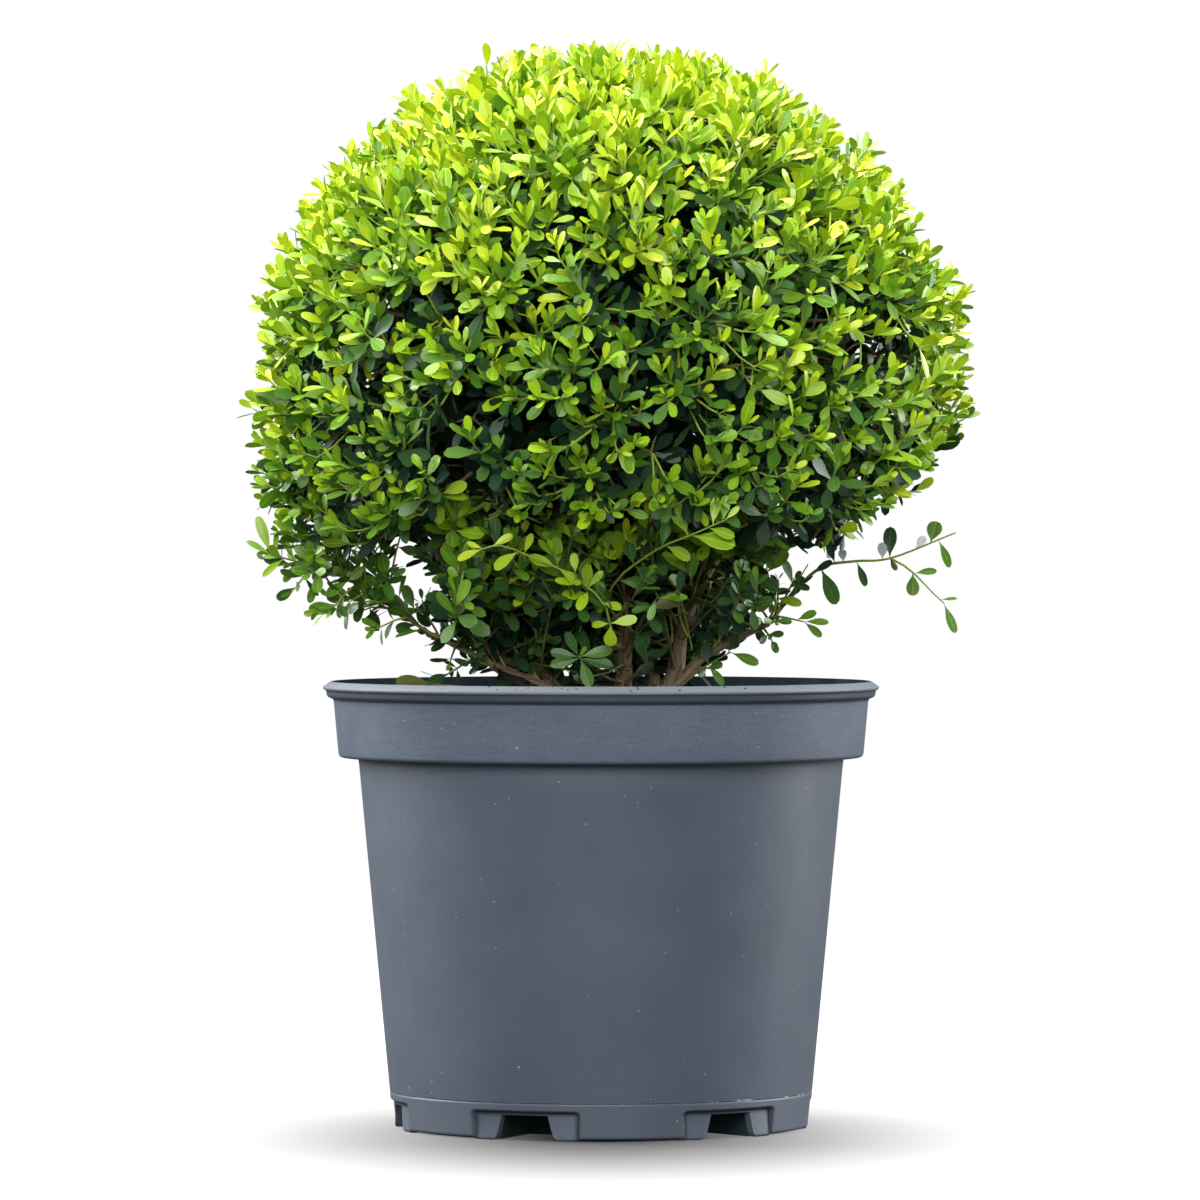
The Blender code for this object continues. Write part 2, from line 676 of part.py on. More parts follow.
def build_spray(name, spray, parts, finish):
    """A low spray: its stem goes on from the bough's tip, with side twigs and pairs of leaves."""
    mass = Foliage(name, spray["leaf_scale"], SEED + len(name))
    mass.under_core = True
    for sizes in (*STEMS.values(), *BOUGHS.values()):
        mass.keep_clear(sizes[2], max(sizes[:2]) * MM)
    radius = BOUGHS[spray["bough"]][1] * MM
    tip = Vector(BOUGHS[spray["bough"]][2][-1]) * MM
    before = Vector(BOUGHS[spray["bough"]][2][-2]) * MM
    onward = (tip - before).normalized()
    start = tip + onward * GAP
    path = [start, start + onward * SPRAY_START, *(Vector(point) * MM for point in spray["path"])]
    count = len(path) - 1
    stem = None
    for i, (a, b) in enumerate(zip(path, path[1:])):
        thin = radius * (1.0 - SPRAY_TAPER * i / count)
        ahead = (b - a).normalized() * (0.0 if i == count - 1 else SPRAY_OVERLAP)
        piece = mass.wood(a, b + ahead, thin, thin * STRETCH_TAPER, sides=5)
        stem = stem or piece
        if i > 1:
            mass.dress(a, b, SPRAY_BARE, thin, pairs=2)
    for share, end in spray["sides"]:
        fork = point_along(spray["path"], share) * MM
        end = Vector(end) * MM
        if not mass.is_clear(fork.lerp(end, CLEAR_FROM), end, radius):
            continue
        side_foot, side_tip = (radius * share for share in SIDE_RADII)
        mass.wood(fork, end, side_foot, side_tip)
        mass.dress(fork, end, SIDE_BARE, side_tip)
    mass.pieces.objects.unlink(stem)
    parts.objects.link(stem)
    stem.name = name
    mass.join(stem, finish)
    return mass


def build():
    clear_scene()
    parts = new_collection("box_topiary_ball")
    cutters = new_collection("cutters")
    build_pot(parts, cutters)
    build_soil(parts, cutters)
    bark = material("bark", BARK_COLOUR, 0.85)
    build_root_crown(parts, bark)
    for name, sizes in STEMS.items():
        foot = CROWN_STEM_FOOT if name == CROWN_STEM else CORE_FOOT
        build_limb(name, sizes, parts, bark, tip_height=foot - GAP)
    for name, sizes in BOUGHS.items():
        build_limb(name, sizes, parts, bark)
    low_leaves = material("low_leaves", LOW_LEAF_COLOUR, 0.45)
    sprays = [build_spray(name, spray, parts, low_leaves) for name, spray in SPRAYS.items()]
    build_crown(parts, material("crown_leaves", LEAF_COLOUR, 0.45), sprays)


build()
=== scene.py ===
import math
import random

import bmesh
import bpy
import numpy as np
from mathutils import Matrix, Vector, noise


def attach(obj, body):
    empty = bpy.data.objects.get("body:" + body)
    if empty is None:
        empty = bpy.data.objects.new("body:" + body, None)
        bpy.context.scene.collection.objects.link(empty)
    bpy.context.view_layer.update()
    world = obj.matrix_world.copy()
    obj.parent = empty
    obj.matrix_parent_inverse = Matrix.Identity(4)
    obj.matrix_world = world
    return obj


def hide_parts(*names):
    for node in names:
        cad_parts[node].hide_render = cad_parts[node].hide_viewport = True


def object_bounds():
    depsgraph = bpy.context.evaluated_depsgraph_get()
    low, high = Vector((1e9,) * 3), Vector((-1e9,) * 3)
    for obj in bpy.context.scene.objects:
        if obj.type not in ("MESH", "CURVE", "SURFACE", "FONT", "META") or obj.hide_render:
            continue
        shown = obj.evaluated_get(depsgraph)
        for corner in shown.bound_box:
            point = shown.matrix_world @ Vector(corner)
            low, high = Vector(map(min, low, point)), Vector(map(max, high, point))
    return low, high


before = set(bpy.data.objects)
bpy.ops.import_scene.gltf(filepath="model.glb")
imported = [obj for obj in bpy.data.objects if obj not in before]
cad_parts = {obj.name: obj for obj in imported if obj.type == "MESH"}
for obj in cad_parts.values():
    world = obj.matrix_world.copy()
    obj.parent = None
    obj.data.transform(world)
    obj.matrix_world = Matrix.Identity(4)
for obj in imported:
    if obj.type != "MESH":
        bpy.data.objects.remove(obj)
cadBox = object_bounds()

mm = 0.001
up = Vector((0, 0, 1))
goldenAngle = math.pi * (3 - math.sqrt(5))
scene = bpy.context.scene


# Small helpers: numbers, objects and meshes

def within(value):
    return min(1, max(0, value))


def shaded(colour, share):
    return tuple(part * share for part in colour)


def addObject(name, data):
    thing = bpy.data.objects.new(name, data)
    scene.collection.objects.link(thing)
    return thing


def newPiece(name, mesh, finishes, slotName, *nodes):
    piece = addObject(name, mesh)
    for finish in finishes:
        mesh.materials.append(finish)
    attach(piece, "root")
    if nodes:
        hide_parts(*nodes)


def meshOf(bm, name, sharpFrom=None):
    # sharpFrom is the angle in degrees past which an edge stays sharp
    mesh = bpy.data.meshes.new(name)
    bm.to_mesh(mesh)
    bm.free()
    if sharpFrom:
        mesh.shade_smooth()
        mesh.set_sharp_from_angle(angle=math.radians(sharpFrom))
    return mesh


def appliedMesh(thing, name):
    # the mesh that the object's modifiers make; the object itself goes
    bpy.context.view_layer.update()
    mesh = bpy.data.meshes.new_from_object(thing.evaluated_get(bpy.context.evaluated_depsgraph_get()))
    mesh.name = name
    bpy.data.objects.remove(thing, do_unlink=True)
    return mesh


def meshArrays(mesh):
    points = np.array([tuple(vert.co) for vert in mesh.vertices])
    faces = np.array([tuple(face.vertices) for face in mesh.polygons])
    return points, faces


def joinedMesh(name, parts):
    # one mesh from many parts, each with its points and faces as arrays
    starts = np.cumsum([0] + [len(points) for points, _ in parts])
    allPoints = np.concatenate([points for points, _ in parts])
    allFaces = np.concatenate([faces + start for (_, faces), start in zip(parts, starts)])
    mesh = bpy.data.meshes.new(name)
    mesh.from_pydata(allPoints.tolist(), [], allFaces.tolist())
    mesh.shade_smooth()
    return mesh


def spinChain(points, steps):
    # a chain of (radius, height) points is spun round the pot's axis
    bm = bmesh.new()
    chain = [bm.verts.new((radius * mm, 0, height * mm)) for radius, height in points]
    for a, b in zip(chain, chain[1:]):
        bm.edges.new((a, b))
    bmesh.ops.spin(
        bm, geom=bm.verts[:] + bm.edges[:], cent=(0, 0, 0), axis=(0, 0, 1), angle=math.tau,
        steps=steps, use_merge=True)
    bmesh.ops.remove_doubles(bm, verts=bm.verts[:], dist=0.01 * mm)
    return bm


def turnAboutAxis(bm, verts, angle):
    bmesh.ops.rotate(bm, verts=verts, cent=(0, 0, 0), matrix=Matrix.Rotation(angle, 3, "Z"))


def faceOutwards(bm):
    # faces agree with one another, and most look away from the middle of the ground
    bmesh.ops.recalc_face_normals(bm, faces=bm.faces[:])
    if sum(face.normal.dot(face.calc_center_median()) for face in bm.faces) < 0:
        bmesh.ops.reverse_faces(bm, faces=bm.faces[:])


def extrudeEdges(bm, edges):
    # gives the new points, and the edges between them
    made = bmesh.ops.extrude_edge_only(bm, edges=edges)["geom"]
    verts = [thing for thing in made if isinstance(thing, bmesh.types.BMVert)]
    known = set(verts)
    between = [
        thing for thing in made if isinstance(thing, bmesh.types.BMEdge) and known.issuperset(thing.verts)]
    return verts, between


def edgesOf(ring):
    return list(dict.fromkeys(edge for vert in ring for edge in vert.link_edges))


# Small helpers: materials

def setInputs(tree, node, values):
    # a value is a number or colour, or another node's output to link
    for name, value in values.items():
        if isinstance(value, bpy.types.NodeSocket):
            tree.links.new(value, node.inputs[name])
        else:
            node.inputs[name].default_value = value


def newNode(tree, kind, values, result=0):
    node = tree.nodes.new("ShaderNode" + kind)
    setInputs(tree, node, values)
    return node.outputs[result]


def newMaterial(name, colour, roughness):
    made = bpy.data.materials.new(name)
    made.use_nodes = True
    tree = made.node_tree
    shader = tree.nodes["Principled BSDF"]
    setInputs(tree, shader, {"Base Color": (*colour, 1), "Roughness": roughness})
    return made, shader, tree


def objectPlace(tree, stretch=(1, 1, 1), move=(0, 0, 0)):
    place = newNode(tree, "TexCoord", {}, "Object")
    return newNode(tree, "Mapping", {"Vector": place, "Scale": stretch, "Location": move})


def partsOf(tree, place):
    return tuple(newNode(tree, "SeparateXYZ", {"Vector": place}).node.outputs)


def noiseOf(tree, place, scale, detail=3.0, roughness=0.5):
    look = {"Vector": place, "Scale": scale, "Detail": detail, "Roughness": roughness}
    return newNode(tree, "TexNoise", look, "Fac")


def rangeOf(tree, value, low, high, toLow=0.0, toHigh=1.0):
    ends = {"Value": value, "From Min": low, "From Max": high, "To Min": toLow, "To Max": toHigh}
    return newNode(tree, "MapRange", ends, "Result")


def rangeInMm(tree, value, low, high, *ends):
    # a range whose low and high are in millimetres
    return rangeOf(tree, value, low * mm, high * mm, *ends)


def patchesOf(tree, place, scale, detail, roughness, *ends):
    return rangeOf(tree, noiseOf(tree, place, scale, detail, roughness), *ends)


def mathOf(tree, operation, first, second):
    step = tree.nodes.new("ShaderNodeMath")
    step.operation = operation
    setInputs(tree, step, {0: first, 1: second})
    return step.outputs["Value"]


def productOf(tree, first, *others):
    for other in others:
        first = mathOf(tree, "MULTIPLY", first, other)
    return first


def mixOf(tree, share, first, second):
    mixer = tree.nodes.new("ShaderNodeMix")
    mixer.data_type = "RGBA"
    first, second = ((*colour, 1) if isinstance(colour, tuple) else colour for colour in (first, second))
    setInputs(tree, mixer, {"Factor": share, "A": first, "B": second})
    return mixer.outputs["Result"]


def paint(tree, shader, colour, *layers):
    # each layer is (share, colour), laid over the ones before it
    for share, over in layers:
        colour = mixOf(tree, share, colour, over)
    tree.links.new(colour, shader.inputs["Base Color"])


def attributeOf(tree, name):
    shown = newNode(tree, "Attribute", {}, "Fac")
    shown.node.attribute_name = name
    return shown


def addBump(tree, shader, height, depth, strength):
    relief = newNode(tree, "Bump", {"Height": height, "Distance": depth * mm, "Strength": strength})
    tree.links.new(relief, shader.inputs["Normal"])


# Camera, lamps and floor, in metres

camera = {
    "place": (-0.0006, -5.3, 0.375),
    "aim": (-0.0006, 0, 0.3166),
    "lens": 264.9,
    "sensor": 36,
}

lamps = {  # place, aim, width and depth, watts
    "topLight": ((-0.10, -0.10, 2.2), (0, 0, 0.4), (1.6, 1.5), 70),
    "frontLight": ((-0.2, -1.9, 0.95), (0, 0, 0.3), (1.5, 0.9), 31),
    "leftLight": ((-2.15, 0.75, 1.3), (0, 0, 0.40), (0.9, 1.9), 92),
    "rightLight": ((2.25, 0.75, 1.0), (0, 0, 0.35), (0.9, 1.9), 72),
}

sky = {  # soft light from all round, weaker from below
    "colour": (0.93, 0.97, 1, 1),
    "heights": (-0.2, 0.8),
    "strengths": (0.12, 0.58),
}

ground = {
    "radius": 4.0,
    "colour": (0.10, 0.10, 0.0975),
    "roughness": 0.8,
    "stretch": (1.55, 0.9, 1),  # of the oval over which the floor's glow grows to white; its dim middle is a painted shadow round the pot
    "shift": (0, 0.09, 0),
    "fade": (0.0, 0.45),
}


def turnTo(thing, target):
    away = Vector(target) - thing.location
    thing.rotation_euler = away.to_track_quat("-Z", "Y").to_euler()


def addCamera():
    eye = addObject("camera", bpy.data.cameras.new("camera"))
    eye.data.lens = camera["lens"]
    eye.data.sensor_width = camera["sensor"]
    eye.data.clip_end = 100
    eye.location = camera["place"]
    turnTo(eye, camera["aim"])
    scene.camera = eye


def addLamps():
    for name, (place, target, size, watts) in lamps.items():
        light = bpy.data.lights.new(name, "AREA")
        light.shape = "RECTANGLE"
        light.size, light.size_y = size
        light.energy = watts
        lamp = addObject(name, light)
        lamp.location = place
        turnTo(lamp, target)


def setWorld():
    # the camera sees plain white, and everything else the soft sky
    world = bpy.data.worlds.new("studio")
    world.use_nodes = True
    scene.world = world
    tree = world.node_tree
    seen = tree.nodes["Background"]
    setInputs(tree, seen, {"Color": (1, 1, 1, 1), "Strength": 1.0})
    height = partsOf(tree, newNode(tree, "TexCoord", {}, "Generated"))[2]
    strength = rangeOf(tree, height, *sky["heights"], *sky["strengths"])
    soft = newNode(tree, "Background", {"Color": sky["colour"], "Strength": strength})
    isSeen = newNode(tree, "LightPath", {}, "Is Camera Ray")
    light = newNode(tree, "MixShader", {0: isSeen, 1: soft, 2: seen.outputs[0]})
    tree.links.new(light, tree.nodes["World Output"].inputs["Surface"])


def addFloor():
    bm = bmesh.new()
    bmesh.ops.create_circle(bm, cap_ends=True, segments=96, radius=ground["radius"])
    floor = addObject("floor", meshOf(bm, "floor"))
    white, shader, tree = newMaterial("floorWhite", ground["colour"], ground["roughness"])
    # painted shadow: the floor glows white by its own emission, which fades out in an oval round the pot
    far = tree.nodes.new("ShaderNodeVectorMath")
    far.operation = "LENGTH"
    setInputs(tree, far, {0: objectPlace(tree, ground["stretch"], ground["shift"])})
    glow = rangeOf(tree, far.outputs["Value"], *ground["fade"])
    glow.node.interpolation_type = "SMOOTHSTEP"
    setInputs(tree, shader, {
        "Specular IOR Level": 0.0, "Emission Color": (1, 1, 1, 1), "Emission Strength": glow})
    floor.data.materials.append(white)
    floor.visible_diffuse = False
    floor.visible_glossy = False


# Pot: radii to the outside and heights above the ground, in millimetres

pot = {
    "steps": 240,
    "height": 268.0,
    "lipRadius": 167.0,
    "lipSlope": 4.8,  # how far the sloping top of the lip reaches in from its edge
    "lipFall": 3.4,
    "lipDrop": 5.6,
    "beadRadius": 165.0,
    "beadFoot": 258.9,
    "bandTopRadius": 160.6,
    "bandTop": 256.9,
    "bandFootRadius": 157.4,
    "bandFoot": 222.5,
    "bodyTopRadius": 145.5,
    "bodyFootRadius": 126.8,
    "seam": 22.0,
    "seamDepth": 0.45,
    "footRadius": 124.6,
    "wall": 2.2,
    "innerFacing": -0.3,  # faces that look in more than this are the inside, which takes the dark painted-shade plastic
    "sharpFrom": 40,
}

drains = {
    "count": 6,
    "first": -21.5,  # degrees from the front towards +X
    "height": 15.0,
    "topWidth": 28.0,
    "footWidth": 36.0,
    "start": 74.0,
    "end": 150.0,
    "recessHeight": 17.0,
    "recessDepth": 3.0,
    "recessFoot": 0.3,  # share of that depth at the ground
    "recessAngle": 31.0,
    "recessCorner": 2.5,
    "recessEdge": 0.9,
    # recessShade is how dark the painted shade in the recesses is, where their overhang would shade them
    "recessShade": 0.85,
    "shadeInside": 3.4,  # the painted shade runs from this far inside the recess's edge to just outside it
    "shadeFade": 2.0,
    "cornerRadius": 4.0,
    "cornerSpread": 0.8,
    "wallLift": 1.2,
    "footRounding": (1.6, 1.3),  # height and depth
    "seamRounding": 0.6,
    "ringInner": 119.0,
    "ringHeight": 19.5,
    "columns": 120,
    "rows": 44,
    "sharpFrom": 50,
}


def drainAngle(number):
    return math.radians(drains["first"] - 90 + number * 360 / drains["count"])


def turnedShell(corners, steps):
    # corners are (radius, height, rounding); the chain is spun, then each ring is rounded
    bm = spinChain([corner[:2] for corner in corners], steps)
    for radius, height, rounding in corners:
        if not rounding:
            continue
        ring = [edge for edge in bm.edges if all(
            abs(math.hypot(v.co.x, v.co.y) - radius * mm) < 0.02 * mm
            and abs(v.co.z - height * mm) < 0.02 * mm for v in edge.verts)]
        bmesh.ops.bevel(
            bm, geom=ring, offset=rounding * mm, segments=3, profile=0.5, affect="EDGES",
            material=-1, offset_type="OFFSET", clamp_overlap=True)
    bmesh.ops.recalc_face_normals(bm, faces=bm.faces[:])
    return bm


def buildPotWall():
    p = pot
    wall = p["wall"]
    innerRise = [
        (p["bodyFootRadius"] - wall - 1.5, p["seam"] - 3.5, 0),
        (p["bodyFootRadius"] - wall, p["seam"] + wall, 0),
        (p["bodyTopRadius"] - wall, p["bandFoot"] + wall - 1.0, 0.5),
        (p["bandFootRadius"] - wall - 1.2, p["bandFoot"] + wall, 1.5),
        (p["bandTopRadius"] - wall, p["bandTop"], 0),
        (p["lipRadius"] - 3 * wall, p["height"] - 0.2, 0.5),
    ]
    outerFall = [
        (p["lipRadius"] - p["lipSlope"], p["height"], 0.5),
        (p["lipRadius"], p["height"] - p["lipFall"], 0.35),
        (p["lipRadius"] - 0.4, p["height"] - p["lipFall"] - 1.3, 0.3),
        (p["beadRadius"], p["height"] - p["lipDrop"], 0.35),
        (p["beadRadius"] - 0.5, p["beadFoot"], 1.1),
        (p["bandTopRadius"] + 0.4, p["bandTop"] + 0.5, 0.5),
        (p["bandTopRadius"] - 0.2, p["bandTop"] - 1.2, 0),
        (p["bandFootRadius"], p["bandFoot"], 2.2),
        (p["bodyTopRadius"] + 0.3, p["bandFoot"] - 0.6, 0.8),
        (p["bodyTopRadius"] - 0.25, p["bandFoot"] - 4.0, 0),
        (p["bodyFootRadius"], p["seam"] + 0.5, 0.15),
        (p["bodyFootRadius"] - p["seamDepth"], p["seam"], 0),
        (p["bodyFootRadius"] - p["seamDepth"] - 1.2, p["seam"] - 0.2, 0),
    ]
    bm = turnedShell(innerRise + outerFall, p["steps"])
    for face in bm.faces:
        middle = face.calc_center_median()
        outward = Vector((middle.x, middle.y, 0)).normalized()
        if face.normal.dot(outward) < p["innerFacing"]:
            face.material_index = 1
    mesh = meshOf(bm, "pot_wall", p["sharpFrom"])
    newPiece("pot_wall", mesh, [potPlastic, innerShadePlastic], "pot_plastic", "pot")


def outsideRecess(arc, height, halfWidth):
    # distance out of the recess, which has rounded upper corners; less than 0 inside it
    side = arc - (halfWidth - drains["recessCorner"])
    top = height - (drains["recessHeight"] - drains["recessCorner"])
    return math.hypot(max(side, 0), max(top, 0)) + min(max(side, top), 0) - drains["recessCorner"]


def recessShare(arc, height, halfWidth):
    # 1 inside the recess and 0 outside, with a soft edge
    share = within(0.5 - outsideRecess(arc, height, halfWidth) / (2 * drains["recessEdge"]))
    return share * share * (3 - 2 * share)


def openingAngle(height):
    # half the drain's opening at this height, in degrees: slanted sides, rounded at the ground
    d = drains
    slant = min(1, height / d["height"])
    corner = 1 - math.sqrt(1 - max(0, 1 - height / d["cornerRadius"]) ** 2)
    width = d["footWidth"] + (d["topWidth"] - d["footWidth"]) * slant
    width += 2 * corner * d["cornerSpread"] * d["cornerRadius"]
    return math.degrees(width / 2 / d["ringInner"])


def footGrid(bm):
    # one sixth of the foot: columns follow the drain's slanted sides, rows run up to the seam
    d = drains
    # each point keeps how much painted shade it gets in the recesses
    shade = bm.verts.layers.float.new("shade")
    bmesh.ops.create_grid(bm, x_segments=d["columns"], y_segments=d["rows"], size=0.5)
    halfStep = 180 / d["count"]
    openAngle = math.degrees(d["topWidth"] / 2 / d["ringInner"])
    openShare = round(openAngle / (2 * halfStep / d["columns"])) * 2 / d["columns"]
    steadyShare = (d["recessAngle"] / 2 + 2) / halfStep
    halfRecess = math.radians(d["recessAngle"] / 2) * pot["footRadius"]
    gone = []
    for face in bm.faces:
        middle = face.calc_center_median()
        if abs(middle.x * 2) < openShare and middle.y + 0.5 < d["height"] / pot["seam"]:
            gone.append(face)
    bmesh.ops.delete(bm, geom=gone, context="FACES")
    for vert in bm.verts:
        share = abs(vert.co.x * 2)
        rise = vert.co.y + 0.5
        height = rise * pot["seam"]
        openAngle = openingAngle(height)
        if share <= openShare:
            angle = share / openShare * openAngle
        elif share < steadyShare:
            along = (share - openShare) / (steadyShare - openShare)
            angle = openAngle + along * (steadyShare * halfStep - openAngle)
        else:
            angle = share * halfStep
        arc = math.radians(angle) * pot["footRadius"]
        inRecess = recessShare(arc, height, halfRecess)
        outside = outsideRecess(arc, height, halfRecess)
        # painted shade: darkest just inside the recess's top and sides, fading inwards
        recessShadow = within((outside + d["shadeInside"]) / d["shadeFade"]) * within(1.0 - outside)
        vert[shade] = d["recessShade"] * recessShadow
        lift = d["wallLift"] * (1 - recessShare(arc, 0, halfRecess))
        height = lift + rise * (pot["seam"] - lift)
        radius = pot["footRadius"] + (pot["bodyFootRadius"] - pot["footRadius"]) * rise
        deep = d["recessFoot"] + (1 - d["recessFoot"]) * min(1, height / d["recessHeight"])
        radius -= d["recessDepth"] * deep * inRecess
        roundHeight, roundDepth = d["footRounding"]
        edge = max(0, 1 - (height - lift) / roundHeight)
        radius -= roundDepth * (1 - math.sqrt(1 - edge ** 2))
        radius -= pot["seamDepth"] * max(0, 1 - (1 - rise) * pot["seam"] / d["seamRounding"])
        turn = math.copysign(math.radians(angle), vert.co.x)
        vert.co = Vector((radius * math.cos(turn), radius * math.sin(turn), height)) * mm


def buildPotFoot():
    d = drains
    bm = bmesh.new()
    footGrid(bm)
    turnAboutAxis(bm, bm.verts[:], drainAngle(0))
    bmesh.ops.spin(
        bm, geom=bm.verts[:] + bm.edges[:] + bm.faces[:], cent=(0, 0, 0), axis=(0, 0, 1),
        angle=math.tau * (1 - 1 / d["count"]), steps=d["count"] - 1, use_duplicate=True)
    bmesh.ops.remove_doubles(bm, verts=bm.verts[:], dist=0.02 * mm)

    # the rim is turned in: a little at the seam, and down to the ring's inside everywhere else
    turned, _ = extrudeEdges(bm, [edge for edge in bm.edges if edge.is_boundary])
    for vert in turned:
        level = Vector((vert.co.x, vert.co.y, 0))
        inward = 1.5 * mm if vert.co.z > (pot["seam"] - 1) * mm else level.length - d["ringInner"] * mm
        vert.co -= level.normalized() * inward
    faceOutwards(bm)
    newPiece("pot_foot", meshOf(bm, "pot_foot", d["sharpFrom"]), [potPlastic], "pot_plastic", "pot")


def drainBlocks(bm, start, end, low, high):
    for number in range(drains["count"]):
        corners = bmesh.ops.create_cube(bm, size=1)["verts"]
        for corner in corners:
            width = drains["footWidth"] if corner.co.z < 0 else drains["topWidth"]
            along = start if corner.co.x < 0 else end
            height = low if corner.co.z < 0 else high
            corner.co = Vector((along, corner.co.y * width, height)) * mm
        turnAboutAxis(bm, corners, drainAngle(number))


def buildPotUnderside():
    # a plate inside the foot, with the drain channels cut out of it; it takes the dark painted-shade plastic
    d = drains
    bm = bmesh.new()
    block = bmesh.ops.create_cone(
        bm, cap_ends=True, segments=pot["steps"], radius1=d["ringInner"] * mm,
        radius2=d["ringInner"] * mm, depth=d["ringHeight"] * mm)["verts"]
    bmesh.ops.translate(bm, verts=block, vec=(0, 0, (d["ringHeight"] / 2 + 0.3) * mm))
    plate = addObject("pot_plate", meshOf(bm, "pot_plate"))
    bm = bmesh.new()
    drainBlocks(bm, d["start"], d["end"], -5, d["height"])
    cutter = addObject("drain_cutter", meshOf(bm, "drain_cutter"))
    cut = plate.modifiers.new("drains", "BOOLEAN")
    cut.object = cutter
    cut.solver = "EXACT"
    mesh = appliedMesh(plate, "pot_underside")
    bpy.data.objects.remove(cutter, do_unlink=True)
    newPiece("pot_underside", mesh, [innerShadePlastic], "pot_plastic", "pot")


plastic = {
    "colour": (0.095, 0.117, 0.154),
    "litBandColour": (0.147, 0.187, 0.250),
    "beadShade": (0.048, 0.056, 0.072),
    "paleFilmAndLight": (0.27, 0.30, 0.35),
    "innerShadeColour": (0.032, 0.050, 0.055),
    "innerLitColour": (0.070, 0.092, 0.100),
    "farLipShade": (0.015, 0.075, 0.034),
    "recessShadeColour": (0.020, 0.025, 0.034),
    "scuffed": (0.80, 0.82, 0.84),
    "dust": (0.50, 0.52, 0.54),
    # noise: scale, detail, roughness, then low, high and what they become
    "cloud": (14, 4, 0.6, 0.3, 0.7),
    "haze": (60, 5, 0.65, 0.45, 0.75, 0, 0.28),
    "grain": (900, 2),
    "scuffPatches": (95, 4, 0.7, 0.50, 0.54),
    "streaks": (420, 2, 0.6, 0.72, 0.79, 0, 0.12),
    "shine": (35, 4, 0.7, 0.25, 0.75, 0.40, 0.56),
    "shadeMottle": (40, 4, 0.6, 0.3, 0.7),
    "specks": ((130, 0.065, 0.74), (46, 0.040, 0.70)),  # cell scale, size, share of cells without one
    "bandRise": (205, 235),  # heights over which the body's colour turns to the band's, which is painted lighter as if lit from above
    "scuffs": (72, 120),  # where the seam is scuffed most, in x
    "paleSide": (141, 146),  # and where the inside is painted paler, as if lit on that side
}


def specksOf(tree, place, scale, size, few):
    # a speck in some of the cells of a Voronoi pattern
    far = newNode(tree, "TexVoronoi", {"Vector": place, "Scale": scale}, "Distance")
    red = newNode(tree, "SeparateColor", {"Color": far.node.outputs["Color"]}, "Red")
    near = rangeOf(tree, far, size * 0.6, size, 1, 0)
    return productOf(tree, near, rangeOf(tree, red, few, few + 0.01), 0.85)


def makePotPlastic():
    look = plastic
    made, shader, tree = newMaterial("potPlastic", look["colour"], 0.5)
    place = objectPlace(tree)
    x, y, z = partsOf(tree, place)
    grain = noiseOf(tree, place, *look["grain"])
    cloud = patchesOf(tree, place, *look["cloud"])
    lighter = shaded(look["colour"], 1.10)
    # painted light: the band and the body just under it are painted lighter, as if lit from above
    litBand = rangeInMm(tree, z, *look["bandRise"])
    haze = patchesOf(tree, objectPlace(tree, (1, 1, 9)), *look["haze"])
    dust = [(specksOf(tree, place, *specks), look["dust"]) for specks in look["specks"]]

    # painted light and shade: the front of the lip is painted pale where the lamps light it, the top at the
    # back is painted dark green as the crown's shade, and the bead under the lip is painted dark as its shade
    lipFoot = pot["height"] - pot["lipDrop"]
    onLip = rangeInMm(tree, z, lipFoot + 0.6, lipFoot + 3.4, 0.25, 0.8)
    aboveBead = rangeInMm(tree, z, lipFoot + 0.2, lipFoot + 0.6)
    nearSide = rangeInMm(tree, y, -60, 40, 1, 0.15)
    farSide = rangeInMm(tree, y, 20, 60)
    atTop = rangeInMm(tree, z, pot["height"] - 1.4, pot["height"] - 0.7)
    overBand = rangeInMm(tree, z, pot["bandTop"] - 0.5, pot["bandTop"] + 0.5)
    belowLip = rangeOf(tree, aboveBead, 0, 1, 0.85, 0)

    # scuffs on the seam, most of them to the right, and faint scratches on the wall
    offSeam = mathOf(tree, "SUBTRACT", z, (pot["seam"] + 0.4) * mm)
    onSeam = rangeInMm(tree, mathOf(tree, "ABSOLUTE", offSeam, 0), 0.18, 0.45, 1, 0)
    low, high = look["scuffs"]
    right = productOf(
        tree, rangeInMm(tree, x, low - 10, low, 0.1, 1), rangeInMm(tree, x, high, high + 6, 1, 0.1))
    patchy = patchesOf(tree, objectPlace(tree, (1, 1, 0.2)), *look["scuffPatches"])
    streaks = patchesOf(tree, objectPlace(tree, (1, 1, 0.02)), *look["streaks"])
    # the layers: mottle, the painted light on the band, a hazy film on the band, grain, dust, the painted
    # light and shade of the lip and bead, scuffs, scratches, and the painted shade in the recesses
    paint(
        tree, shader, shaded(look["colour"], 0.90), (cloud, lighter),
        (litBand, mixOf(tree, cloud, look["litBandColour"], lighter)),
        (productOf(tree, haze, litBand), look["paleFilmAndLight"]),
        (rangeOf(tree, grain, 0.35, 0.70, 0, 0.55), shaded(look["colour"], 0.8)), *dust,
        (productOf(tree, onLip, aboveBead, nearSide), look["paleFilmAndLight"]),
        (productOf(tree, atTop, farSide), look["farLipShade"]),
        (productOf(tree, overBand, belowLip), look["beadShade"]),
        (productOf(tree, onSeam, patchy, right), look["scuffed"]), (streaks, look["dust"]),
        # the painted shade in the foot's recesses
        (attributeOf(tree, "shade"), look["recessShadeColour"]))
    tree.links.new(patchesOf(tree, place, *look["shine"]), shader.inputs["Roughness"])
    addBump(tree, shader, grain, 0.12, 0.5)
    return made


